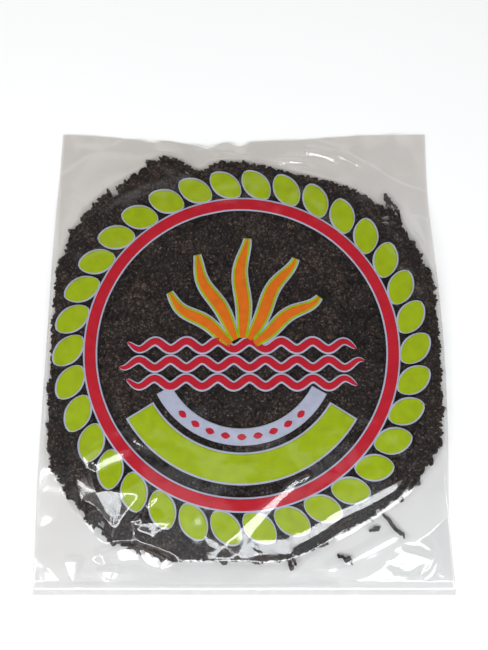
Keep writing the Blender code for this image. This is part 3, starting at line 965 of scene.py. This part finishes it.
# Strands at the rim, in millimetres: a loop at the upper right, curls and a single tip
STRANDS = (
    (((81, 90.2), (81.5, 87.8), (82.2, 85.4), (83.4, 82.1), (83, 79)), 2.9, 2.3),
    (((82.4, 88), (85.1, 84.4), (87, 81.8), (88.3, 78.3), (88.7, 74.1), (88.7, 70), (89.5, 65.9),
      (88, 62)), 1.7, 2),
    (((19.5, -99), (21.5, -105), (23.5, -110.5), (25, -114.6)), 2.4, 1.9),
    (((22, -106), (25.5, -109.5), (27.2, -112.6)), 1.4, 1.8),
    (((92, 55), (95.6, 54.6), (97, 51), (95, 48)), 1.7, 2.2),
    (((100, 44.5), (103.6, 43.8), (104.4, 40.6), (101, 38.6)), 1.5, 2.2),
    (((86, 62), (90.4, 64), (92.4, 61), (89.6, 57)), 1.8, 2.2),
)

STRAND_CLOSENESS = 2.2
STRAND_WANDER = 0.2
STRAND_CRUMB_SIZE = (0.6, 1.0)


def make_strands(soup):
    """Crumbled strands: crumbs strung close together along each route."""
    draw = random.Random(SEED + 5)
    for points, width, height in STRANDS:
        radius = 0.5 * width * MM
        route = np.array(points) * MM
        steps = int(np.hypot(*np.diff(route, axis=0).T).sum() / radius * STRAND_CLOSENESS)
        for x, y in through(route, steps).tolist():
            lift = CAKE_BASE + height * MM + draw.uniform(-STRAND_WANDER, STRAND_WANDER) * radius
            add_crumb(soup, (x, y, lift), radius * draw.uniform(*STRAND_CRUMB_SIZE), draw, True)


# The broken fronds lying loose, in millimetres: node, width and route
LOOSE_FRONDS = (
    ("loose_frond_curl", 2.5, ((73.5, -86.6), (77, -90.4), (80.2, -94.6), (82.6, -96.6),
                               (84.4, -97.6), (84.6, -99.6))),
    ("loose_frond_fleck", 2.2, ((66.2, -95.8), (69, -94.9), (72.2, -93.2))),
    ("loose_frond_tip", 3.2, ((49.2, -107.6), (52.4, -109.4), (56, -110.6), (57, -113))),
)

LOOSE_STEPS = 24
LOOSE_LIFT = 0.0009
LOOSE_HUMP = 0.0005


def make_loose_fronds(material):
    draw = random.Random(SEED + 6)
    for name, width, points in LOOSE_FRONDS:
        soup = Soup()
        places = through(np.array(points) * MM, LOOSE_STEPS)
        hump = np.sin(np.linspace(0.0, math.pi, len(places)))
        add_blade(soup, places, CAKE_BASE + LOOSE_LIFT + LOOSE_HUMP * hump, width * MM, draw, LOOSE_BLADE)
        place_piece(soup.make("detailed_" + name, material), "laver", name)


# The film's field of heights: a grid over the bag, read between its points

FIELD_STEP = 0.0006
FIELD_HALF_X = 0.1140
FIELD_HALF_Y = 0.1302
FIELD_EDGE = 0.001

# Ridges in the film, in millimetres: height, half-width, route
CREASES = (
    (0.5, 1.1, ((91.2, 77), (98, 77.6), (105.8, 75.6))),
    (0.5, 1.2, ((94.7, 66.2), (98.8, 58.4))),
    (0.4, 1.6, ((-100, 92), (-94, 88), (-90, 80))),
    (0.5, 2.4, ((-98, 120), (-60, 113), (-38, 115))),
)

# Facets that fall towards the viewer and mirror the near softbox, in millimetres: width from start
# to end, the blend behind it, and the route, which has the facet on its right
FACETS = (
    (8, 7, 30, ((-9, -102.5), (8, -99.5), (20, -99.5), (30, -98))),
    (1.8, 1.6, 8, ((15, -78), (25, -71.5), (37, -64.5))),
    (5.5, 4, 20, ((15, -102), (27, -96.5), (37, -92), (49, -84.5), (60, -80),
                      (74, -73), (88, -65.5))),
    (8, 3, 18, ((-16, -109.5), (-2.5, -94.5), (8, -84.5), (31, -65))),
    (10, 24, 16, ((-85, -80), (-76, -75), (-66, -74.5), (-54, -77.5))),
    (8, 8, 8, ((-56, -95), (-50.5, -91), (-45, -90.5), (-39, -93))),
    (5.5, 4.5, 8, ((-83, -63), (-71, -56.5), (-60, -53))),
    (1.8, 1.4, 4, ((-59, -47), (-53, -51), (-46, -53.5))),
    (2.2, 2, 5, ((-106, -109.2), (-98.5, -98), (-88, -94.8), (-76, -97.5))),
    (12, 12, 4, ((-96, -111), (-89, -110.6), (-81.5, -112))),
    (9, 9, 4, ((-79, -117), (-71.5, -115.6), (-62.5, -117.2))),
    (7, 6.5, 4, ((-81, -109.5), (-67.5, -104.6), (-60.9, -103.8), (-51.8, -105), (-34, -112))),
    (1.9, 1.9, 3, ((17, -128), (26.6, -114.8), (49.6, -98.6), (61.8, -90.2), (69.7, -85.6),
                     (77.4, -80.6), (84.5, -73.6), (90.4, -62))),
    (2.8, 2.8, 6, ((40, -117), (66, -104.5), (86, -95))),
    (2.4, 2, 4, ((81, -102.5), (91, -100.6), (101, -106.5))),
    (10, 9, 4, ((72, -112), (85, -106.5), (99, -111))),
    (2.6, 2.4, 3, ((18, 107.4), (29, 108.8), (40, 106.8))),
    (3.4, 3, 3, ((33, 115.6), (44, 114.2), (55, 109.6))),
    (2.6, 2.4, 3, ((51, 114.6), (59, 112), (68, 107))),
)

# The same for facets that fall to the left and mirror the left strip
LEFT_FACETS = (
    (1.5, 1.7, 2.5, ((-43, -74.5), (-51, -81.7), (-54, -87.8), (-57, -90.5), (-56.2, -94),
                     (-55.8, -100.3), (-53.5, -106), (-51.7, -111), (-50, -120))),
    (1.4, 1.4, 2.5, ((102, -103), (101.5, -109), (99, -115), (94, -120))),
)
FACET_STEPS = 16
FACET_LEAST_RUN = 0.55
EDGE_SOFTNESS = 8
FACET_CALM = 0.92
FACET_ENDS = (0.15, 0.5)
LEFT_GLINT_SLOPE = 0.29
GLINT_SLOPE = 0.108
GLINT_PLACE = -0.101
GLINT_GROWTH = 1.85

# One-sided folds, where the film steps down on the route's right: depth, width, route
STEPS = (
    (0.9, 1.4, ((-33.6, 118.2), (-20.9, 118), (-8.7, 113.9), (9.2, 109.6), (30.5, 104.1))),
)

# Wrinkles in the free film: size, depth, warp and noise layer
WRINKLES = (
    (0.0340, 0.0006, 1, 11),
    (0.0150, 0.00022, 0.9, 23),
    (0.0060, 0.00005, 0.7, 37),
)
WRINKLE_SHARPNESS = 1.7

# What the cake presses into the film: size, depth and noise layer
CAKE_PRESS = ((0.0150, 0.00035, 5), (0.0065, 0.00016, 9))

# Where the laver's crumbs press up into the film: size, depth and noise layer, then the places'
# centres and half-sizes in millimetres
MOTTLES = ((0.0040, 0.00005, 13), (0.0080, 0.00012, 17))
MOTTLED = (
    (-69, -85, 11, 12),
    (14, -105, 12, 6),
)

# How far each part of the film's relief takes to set in, from the rim, the ends and the sides
FREE_PAST_RIM = 0.009
LOOSE_FROM_END = 0.010
LOOSE_FROM_SIDE = 0.008
WRINKLE_MIDDLE = 0.35
WRINKLE_AT_END = 0.25
CREASE_ENDS = 0.15
STEP_ENDS = 0.2
STEP_FADE = 0.010

# Small folds gathered along the weld
GATHER_SIZE = 0.0075
GATHER_STRETCH = 0.35
GATHER_DEPTH = 0.0007
GATHER_MIDDLE = -0.1175
GATHER_HALF_LENGTH = 0.0055
GATHER_LAYER = 91

# The mouth's gape and the weld's seal
MOUTH_GAPE = 0.0022
MOUTH_GAPE_REACH = 0.020
MOUTH_GAPE_SIZE = 0.016
MOUTH_GAPE_LAYER = 71
MOUTH_GAPE_FROM_SIDE = 0.02
MOUTH_GAPE_SHARE = 0.15
SEAL_BEFORE = 0.0012
SEAL_SPAN = 0.0030
SEAL_LINES = (-0.1219, -0.1243)
SEAL_RIDGE = 0.00010
SEAL_RIDGE_HALF = 0.0004


def softened(height, passes):
    """The height grid with its sharp bends rounded, by averaging each point with its neighbours."""
    for axis in (0, 1) * passes:
        height = 0.25 * np.roll(height, 1, axis) + 0.5 * height + 0.25 * np.roll(height, -1, axis)
    return height


def read_field(heights, x, y):
    """The height at any place, read from a grid of heights between its points."""
    rows, columns = heights.shape
    across = np.clip((np.asarray(x) + FIELD_HALF_X) / FIELD_STEP, 0, columns - 1 - FIELD_EDGE)
    along = np.clip((np.asarray(y) + FIELD_HALF_Y) / FIELD_STEP, 0, rows - 1 - FIELD_EDGE)
    column = across.astype(int)
    row = along.astype(int)
    u = across - column
    v = along - row
    near = heights[row, column] * (1 - u) + heights[row, column + 1] * u
    far = heights[row + 1, column] * (1 - u) + heights[row + 1, column + 1] * u
    return near * (1 - v) + far * v


def tapered(along, ends):
    """1 in a line's middle, down to 0 at both of its ends."""
    return smooth(along / ends) * smooth((1.0 - along) / ends)


def with_facets(height, x, y):
    """The film with each facet tilted to mirror its lamp, and how calm it is kept round them."""
    calm = np.ones(np.shape(x))
    rows = [(facet, False) for facet in FACETS] + [(facet, True) for facet in LEFT_FACETS]
    for (width_from, width_to, back, route), falls_left in rows:
        line = through(np.array(route) * MM, FACET_STEPS)
        away, side, along, run_x, run_y = line_distance(x, y, line)
        ends = width_from * MM / math.dist(line[0], line[-1])
        taper = tapered(along, min(max(ends, FACET_ENDS[0]), FACET_ENDS[1]))
        width = (width_from + (width_to - width_from) * along) * taper * MM
        right = -side * away
        beyond = width - right
        edge = read_field(softened(height, EDGE_SOFTNESS), x + run_y * beyond, y - run_x * beyond)
        left = np.clip(beyond, 0.0, width)
        if falls_left:
            slope = LEFT_GLINT_SLOPE / np.maximum(-run_y, FACET_LEAST_RUN)
        else:
            middle_y = y - run_x * (beyond - 0.5 * left)
            slope = GLINT_SLOPE + GLINT_GROWTH * (middle_y - GLINT_PLACE)
            slope = slope / np.maximum(run_x, FACET_LEAST_RUN)
        tilted = edge + slope * left
        crest = tilted - read_field(height, x - run_y * right, y + run_x * right)
        rise = np.where(side < 0, tilted - height, crest * smooth(1.0 - away / (back * MM)))
        height = height + np.where(beyond > 0.0, rise, 0.0)
        calm = np.minimum(calm, 1.0 - FACET_CALM * taper * smooth(2.0 - away / (width_from * MM)))
    return height, calm


def film_heights(x, y):
    """The upper film's outer height with its drape, facets, wrinkles, creases and seals."""
    height, calm = with_facets(softened(film_drape(x, y), DRAPE_SOFTNESS), x, y)
    angle, reach = polar(x, y)
    free = smooth((reach - cake_outline(angle)) / FREE_PAST_RIM)
    loose = smooth(np.minimum(mouth_edge(x) - y, y - WELD_LINE) / LOOSE_FROM_END)
    to_side = np.minimum(bag_side(y, True) - x, x - bag_side(y, False))
    loose_side = smooth(to_side / LOOSE_FROM_SIDE)
    wrinkled = np.zeros(np.shape(x))
    for size, depth, warp, layer in WRINKLES:
        wrinkled += depth * (crests_at(x, y, size, warp, layer, WRINKLE_SHARPNESS) - WRINKLE_MIDDLE)
    at_end = WRINKLE_AT_END + (1.0 - WRINKLE_AT_END) * loose
    height = height + wrinkled * free * at_end * loose_side * calm
    for size, depth, layer in CAKE_PRESS:
        height = height + depth * noise_at(x, y, size, layer) * (1.0 - free) * calm
    for depth, half_width, route in CREASES:
        away, side, along = line_distance(x, y, np.array(route) * MM)[:3]
        height = height + depth * MM * bump(away, half_width * MM) * np.sqrt(tapered(along, CREASE_ENDS))
    for depth, width, route in STEPS:
        away, side, along = line_distance(x, y, np.array(route) * MM)[:3]
        lift = smooth(away * side / (width * MM) + 1.0) * bump(away, STEP_FADE)
        height = height + depth * MM * lift * tapered(along, STEP_ENDS)
    for size, depth, layer in MOTTLES:
        for centre_x, centre_y, half_x, half_y in MOTTLED:
            window = bump(x - centre_x * MM, half_x * MM) * bump(y - centre_y * MM, half_y * MM)
            height = height + depth * window * noise_at(x, y, size, layer)
    gather = noise_at(x, y * GATHER_STRETCH, GATHER_SIZE, GATHER_LAYER)
    near_weld = bump(y - GATHER_MIDDLE, GATHER_HALF_LENGTH) * loose_side
    height = height + GATHER_DEPTH * gather * near_weld
    gape = smooth(1.0 - (mouth_edge(x) - y) / MOUTH_GAPE_REACH)
    wave = noise_at(x, np.zeros(np.shape(x)), MOUTH_GAPE_SIZE, MOUTH_GAPE_LAYER)
    wave = wave * smooth(to_side / MOUTH_GAPE_FROM_SIDE)
    height = height + MOUTH_GAPE * gape * np.clip(wave + MOUTH_GAPE_SHARE, 0.0, 1.0)
    sealed = smooth((y - WELD_LINE + SEAL_BEFORE) / SEAL_SPAN)
    height = WELD_HEIGHT + (height - WELD_HEIGHT) * sealed
    for line in SEAL_LINES:
        height = height + SEAL_RIDGE * bump(y - line, SEAL_RIDGE_HALF)
    return np.maximum(height, WELD_HEIGHT)


field_x = np.arange(-FIELD_HALF_X, FIELD_HALF_X, FIELD_STEP)
field_y = np.arange(-FIELD_HALF_Y, FIELD_HALF_Y, FIELD_STEP)
field = film_heights(*np.meshgrid(field_x, field_y))


def film_at(x, y):
    """The upper film's height at any place."""
    return read_field(field, x, y)


# The film's skin

FILM_COLUMNS = 255
FILM_UNDER_COLUMNS = 48
FILM_ROWS = 300
FOLD_POINTS = 5
UNDER_RIPPLE = 0.00022
UNDER_RIPPLE_SIZE = 0.012
UNDER_RIPPLE_LAYER = 2
UNDER_FLAT_BY_WELD = 0.01

# The mouth's crumpled lip, in millimetres: place, half-width and rise of each small wave
MOUTH_WAVES = (
    (-54, 3.5, -1.6), (-46, 6, 0.8), (-33.5, 5, -0.4), (-21.5, 3, -0.8),
    (-13, 4, 0.9), (30, 8, -0.5), (70, 12, 0.4),
)


def film_mouth(x):
    """The mouth's cut edge with the small waves of its crumpled lip."""
    edge = mouth_edge(x)
    for at, half_width, rise in MOUTH_WAVES:
        edge = edge + rise * MM * bump(x - at * MM, half_width * MM)
    return np.minimum(edge, BAG_LENGTH / 2)


def film_ring(share):
    """One closed ring of the film: along the underside, a side fold, back over the top."""
    end = -BAG_LENGTH / 2
    level = end + BAG_LENGTH * share
    left = float(bag_side(level, False)) + SIDE_FOLD_INSET
    right = float(bag_side(level, True)) - SIDE_FOLD_INSET
    under_x = np.linspace(left, right, FILM_UNDER_COLUMNS + 1)
    over_x = np.linspace(right, left, FILM_COLUMNS + 1)
    under_y = end + (film_mouth(under_x) - end) * share
    over_y = end + (film_mouth(over_x) - end) * share
    ripple = 0.5 + 0.5 * noise_at(under_x, under_y, UNDER_RIPPLE_SIZE, UNDER_RIPPLE_LAYER)
    ripple = UNDER_RIPPLE * ripple * smooth((level - WELD_LINE) / UNDER_FLAT_BY_WELD)
    under = np.stack([under_x, under_y, ripple], -1)
    over = np.stack([over_x, over_y, film_at(over_x, over_y)], -1)
    turn = np.linspace(0.0, math.pi, FOLD_POINTS + 2)[1:-1]
    folds = []
    for low, high, out in ((under[-1], over[0], 1.0), (over[-1], under[0], -1.0)):
        middle = 0.5 * (low + high)
        rise = 0.5 * (high[2] - low[2])
        x = low[0] + out * SIDE_FOLD_INSET * np.sin(turn)
        folds.append(np.stack([x, np.full(FOLD_POINTS, middle[1]), middle[2] - rise * np.cos(turn)], -1))
    return np.concatenate([under, folds[0], over, folds[1]])


def make_film(material):
    """The lay-flat tube of film: one skin, closed at its weld and open at its mouth."""
    rings = [film_ring(row / FILM_ROWS) for row in range(FILM_ROWS + 1)]
    size = len(rings[0])
    faces = []
    for near in range(0, FILM_ROWS * size, size):
        for place in range(size):
            after = (place + 1) % size
            faces.append((near + place, near + size + place, near + size + after, near + after))
    soup = Soup()
    soup.add(np.concatenate(rings), faces)
    return soup.make("clear_film_bag", material)


# Print, just under the film's outer face; its routes are in millimetres

INK_DEPTH = {"pale": 0.00009, "lime": 0.00006, "crimson": 0.00006, "orange": 0.00004}
INK_COLOURS = {
    "pale": (0.47, 0.50, 0.64),
    "lime": (0.365, 0.49, 0.002),
    "crimson": (0.54, 0.009, 0.026),
    "orange": (0.75, 0.17, 0.006),
}
INK_THICKNESS = 0.00002
INK_STEP = 0.0008
INK_LEAST_COLUMNS = 3
PRINT_X = -0.0012
PRINT_Y = 0.0002

# The ring and its wreath
RING_RADIUS = 82
RING_HALF = 3
RING_EDGE = 0.9
RING_LEAST_STEPS = 8
LEAVES = 34
LEAF_FROM = 87.4
LEAF_TO = 101
LEAF_WIDTH = 12.6
LEAF_SLANT = math.radians(4.5)
LEAF_EDGE = 0.9
LEAF_SHARPNESS = 0.55
LEAF_LEAST_STEPS = 4
LEAF_LEAST_SHARE = 0.02

# The fan of fronds: direction in degrees, length and width; then each ink's growth past the frond
FAN = ((-52, 44, 5), (-27, 52, 5.6), (0, 56, 6), (27, 52, 5.6), (52, 44, 5))
FAN_INKS = (("pale", 1.9), ("lime", 1.1), ("orange", 0))
FAN_X = 0.5
FAN_Y = -2
FAN_HUB = 8
FAN_STEPS = 70
FAN_SWAY = 2.6
FAN_SWAY_TURNS = 1.25
FAN_BULGE_FROM = 0.12
FAN_BULGE_SPAN = 0.86
FAN_SHARPNESS = 0.8

# Rows of waves: y, half-length and half-thickness
WAVE_ROWS = ((2, 62, 1.9), (-8, 66, 1.9), (-18, 62, 1.9))
WAVE_HEIGHT = 2.2
WAVE_LENGTH = 17
WAVE_EDGE = 1
WAVE_END_POWER = 8
WAVE_LEAST = 0.001

# Arc bands below the waves: ink, radius, half-width and half-angle in degrees, and a row of dots
DOWN = -0.5 * math.pi
BANDS = (("lime", 63.5, 7.5, 58), ("pale", 63.5, 8.5, 58.8), ("pale", 47, 4.5, 62))
DOTS_EACH_SIDE = 4
DOT_RADIUS = 47
DOT_TURN = math.radians(10.5)
DOT_HALF_LENGTH = 2.6
DOT_WIDTH = 3.4
DOT_SHARPNESS = 0.7


def ink_strip(soups, ink, route, half, closed=False, depth_of=None):
    """A thin closed strip of ink that follows the film along a route."""
    route = np.array(route, float) * MM
    half = np.broadcast_to(np.asarray(half, float) * MM, (len(route),))
    columns = max(INK_LEAST_COLUMNS, 1 + int(math.ceil(2.0 * half.max() / INK_STEP)))
    offset = np.linspace(-1.0, 1.0, columns)[None, :] * half[:, None]
    x, y = beside(route + (PRINT_X, PRINT_Y), offset, closed)
    top = film_at(x, y) - INK_DEPTH[depth_of or ink]
    soups[ink].slab(x, y, top, top - INK_THICKNESS, closed)


def toward(turn):
    return np.array((math.cos(turn), math.sin(turn)))


def ring_route(radius, start=0.0, end=TURN, closed=True):
    steps = max(RING_LEAST_STEPS, int(radius * MM * abs(end - start) / INK_STEP))
    turn = np.linspace(start, end, steps + 1)
    turn = turn[:-1] if closed else turn
    return np.stack([radius * np.cos(turn), radius * np.sin(turn)], -1)


def leaf(start, end, width, sharpness):
    """A leaf's straight route from tip to tip, and half its width at each point."""
    steps = max(LEAF_LEAST_STEPS, int(np.hypot(*(end - start)) * MM / INK_STEP))
    along = np.linspace(0.0, 1.0, steps + 1)
    halves = 0.5 * width * np.maximum(np.sin(math.pi * along) ** sharpness, LEAF_LEAST_SHARE)
    return start + (end - start) * along[:, None], halves


def print_border(soups):
    """A crimson ring with pale edges, and a wreath of slanted lime leaves round it."""
    for ink, half in (("crimson", RING_HALF), ("pale", RING_HALF + RING_EDGE)):
        ink_strip(soups, ink, ring_route(RING_RADIUS), half, True)
    for number in range(LEAVES):
        turn = TURN * number / LEAVES
        for ink, grow in (("pale", LEAF_EDGE), ("lime", 0.0)):
            start = toward(turn - LEAF_SLANT) * (LEAF_FROM - grow)
            end = toward(turn + LEAF_SLANT) * (LEAF_TO + grow)
            ink_strip(soups, ink, *leaf(start, end, LEAF_WIDTH + 2 * grow, LEAF_SHARPNESS))


def print_fan(soups):
    """Five swaying fronds that spread from a hub."""
    along = np.linspace(0.0, 1.0, FAN_STEPS)
    shape = np.sin(math.pi * (FAN_BULGE_FROM + FAN_BULGE_SPAN * along)) ** FAN_SHARPNESS
    for degrees, length, width in FAN:
        lean = math.radians(degrees)
        out = FAN_HUB + length * along
        sway = FAN_SWAY * np.sin(along * TURN * FAN_SWAY_TURNS + lean) * along
        x = FAN_X + np.sin(lean) * out + np.cos(lean) * sway
        y = FAN_Y + np.cos(lean) * out - np.sin(lean) * sway
        for ink, grow in FAN_INKS:
            ink_strip(soups, ink, np.stack([x, y], -1), 0.5 * width * shape + grow)


def print_waves(soups):
    """Rows of waves, every other one turned over."""
    for row, (y, half_length, thick) in enumerate(WAVE_ROWS):
        along = np.linspace(-1.0, 1.0, int(2 * half_length * MM / INK_STEP))
        wave = WAVE_HEIGHT * np.sin(along * half_length * TURN / WAVE_LENGTH + row * math.pi)
        route = np.stack([along * half_length, y + wave], -1)
        ends = np.sqrt(np.maximum(1.0 - np.abs(along) ** WAVE_END_POWER, WAVE_LEAST))
        ink_strip(soups, "crimson", route, thick * ends)
        ink_strip(soups, "pale", route, (thick + WAVE_EDGE) * ends)


def print_bands(soups):
    """Two bare arc bands, the upper one with a row of dots."""
    for ink, radius, half, degrees in BANDS:
        spread_out = math.radians(degrees)
        ink_strip(soups, ink, ring_route(radius, DOWN - spread_out, DOWN + spread_out, False), half)
    for number in range(-DOTS_EACH_SIDE, DOTS_EACH_SIDE + 1):
        centre = toward(DOWN + DOT_TURN * number)
        side = np.array((-centre[1], centre[0])) * DOT_HALF_LENGTH
        centre = centre * DOT_RADIUS
        route, halves = leaf(centre - side, centre + side, DOT_WIDTH, DOT_SHARPNESS)
        ink_strip(soups, "crimson", route, halves, depth_of="orange")


def make_print():
    soups = {ink: Soup() for ink in INK_COLOURS}
    print_border(soups)
    print_fan(soups)
    print_waves(soups)
    print_bands(soups)
    for ink, colour in INK_COLOURS.items():
        made = soups[ink].make("print_" + ink, ink_material("ink_" + ink, colour))
        place_piece(made, "film")


# Stage, light and camera

FLOOR_LEVEL = -0.0003
FLOOR_SIZE = 8
FLOOR_STOPS = (0.3, 0.7)
FLOOR_COLOURS = ((0.92, 0.92, 0.92), (0.94, 0.94, 0.94))
FLOOR_ROUGHNESS = 0.8

# The studio round the table: soft light from the sides, and dim overhead, where the film mirrors it
WORLD_HORIZON = (0.30, 0.30, 0.30)
WORLD_BRIGHT = (1.12, 1.11, 1.10)
WORLD_OVERHEAD = (0.05, 0.05, 0.055)
WORLD_STOPS = (0.42, 0.62, 0.82, 0.90)
WORLD_COLOURS = (WORLD_HORIZON, WORLD_BRIGHT, WORLD_BRIGHT, WORLD_OVERHEAD)

# Lights: name, place, aim, width, height, power in watts, colour
LIGHTS = (
    ("softbox_near", (0.05, -0.38, 0.80), (0.05, -0.06, 0.0), 1.00, 0.12, 4.2, (0.94, 0.97, 1.0)),
    ("strip_left", (-0.75, -0.25, 0.85), (0.0, -0.05, 0.0), 0.12, 0.60, 2.8, (1.0, 1.0, 1.0)),
    ("panel_above", (0.0, -0.19, 1.00), (0.0, -0.19, 0.0), 0.64, 0.16, 0.17, (0.82, 0.92, 1.0)),
)


def place_piece(made, slot, *nodes):
    """A finished piece rides on the part's one body and hides the nodes that it stands for; the slot is not
    used.
    """
    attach(made, "root")
    if nodes:
        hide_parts(*nodes)


def make_floor():
    """A wide pale table top just under the part."""
    bpy.ops.mesh.primitive_plane_add(size=FLOOR_SIZE, location=(0.0, 0.0, FLOOR_LEVEL))
    floor = bpy.context.object
    floor.name = "floor"
    material, tree, place = material_nodes("pale_floor")
    colour = ramp(tree, noise_node(tree, place, FLOOR_CLOUD), FLOOR_STOPS, FLOOR_COLOURS)
    shader = node(tree, "ShaderNodeBsdfPrincipled", Base_Color=colour, Roughness=FLOOR_ROUGHNESS)
    floor.data.materials.append(surfaced(material, tree, shader))


def make_lights():
    """The area lamps and the world round them."""
    for name, place, aim, width, height, power, colour in LIGHTS:
        lamp = bpy.data.lights.new(name, "AREA")
        lamp.shape = "RECTANGLE"
        lamp.size = width
        lamp.size_y = height
        lamp.energy = power
        lamp.color = colour
        made = bpy.data.objects.new(name, lamp)
        made.location = place
        made.rotation_euler = (Vector(aim) - Vector(place)).to_track_quat("-Z", "Y").to_euler()
        bpy.context.scene.collection.objects.link(made)
    world = bpy.data.worlds.new("soft_studio")
    world.use_nodes = True
    tree = world.node_tree
    way = node(tree, "ShaderNodeTexCoord").outputs["Generated"]
    height = node(tree, "ShaderNodeSeparateXYZ", Vector=way).outputs["Z"]
    colour = ramp(tree, height, WORLD_STOPS, WORLD_COLOURS)
    tree.links.new(colour, tree.nodes["Background"].inputs["Color"])
    bpy.context.scene.world = world


def make_camera():
    """The camera in the photograph's place."""
    lens = bpy.data.cameras.new("camera")
    lens.sensor_fit = "VERTICAL"
    lens.sensor_height = CAMERA_SENSOR
    lens.lens = CAMERA_SENSOR * CAMERA_FOCAL_SHARE
    camera = bpy.data.objects.new("camera", lens)
    camera.location = CAMERA_PLACE
    camera.rotation_euler = (CAMERA_TILT, 0.0, 0.0)
    bpy.context.scene.collection.objects.link(camera)
    bpy.context.scene.camera = camera
    bpy.context.scene.view_settings.view_transform = "Standard"


def main():
    make_camera()
    make_lights()
    make_floor()
    laver = laver_material("dried_laver", *LAVER_TONES_AND_PAINTED_RELIEF)
    place_piece(make_cake(laver), "laver", "laver_disc")
    rim = Soup()
    top = Soup()
    main_fronds(rim, top)
    small_rim_fronds(rim)
    make_strands(rim)
    small_top_fronds(top)
    small_low_fronds(top)
    place_piece(rim.make("laver_rim_fronds", laver), "laver", "laver_disc")
    place_piece(top.make("laver_face_fronds", laver), "laver", "laver_disc")
    crumbs = Soup()
    rim_crumbs(crumbs)
    top_crumbs(crumbs)
    # The crumbs' lighter tones are partly painted glints
    crumbs_and_glints = laver_material("laver_crumb", *CRUMB_TONES_AND_GLINTS)
    place_piece(crumbs.make("laver_crumbs", crumbs_and_glints), "laver", "laver_disc")
    make_loose_fronds(laver_material("loose_laver", *LOOSE_TONES))
    place_piece(make_film(film_material()), "film", "film_bag")
    make_print()


main()
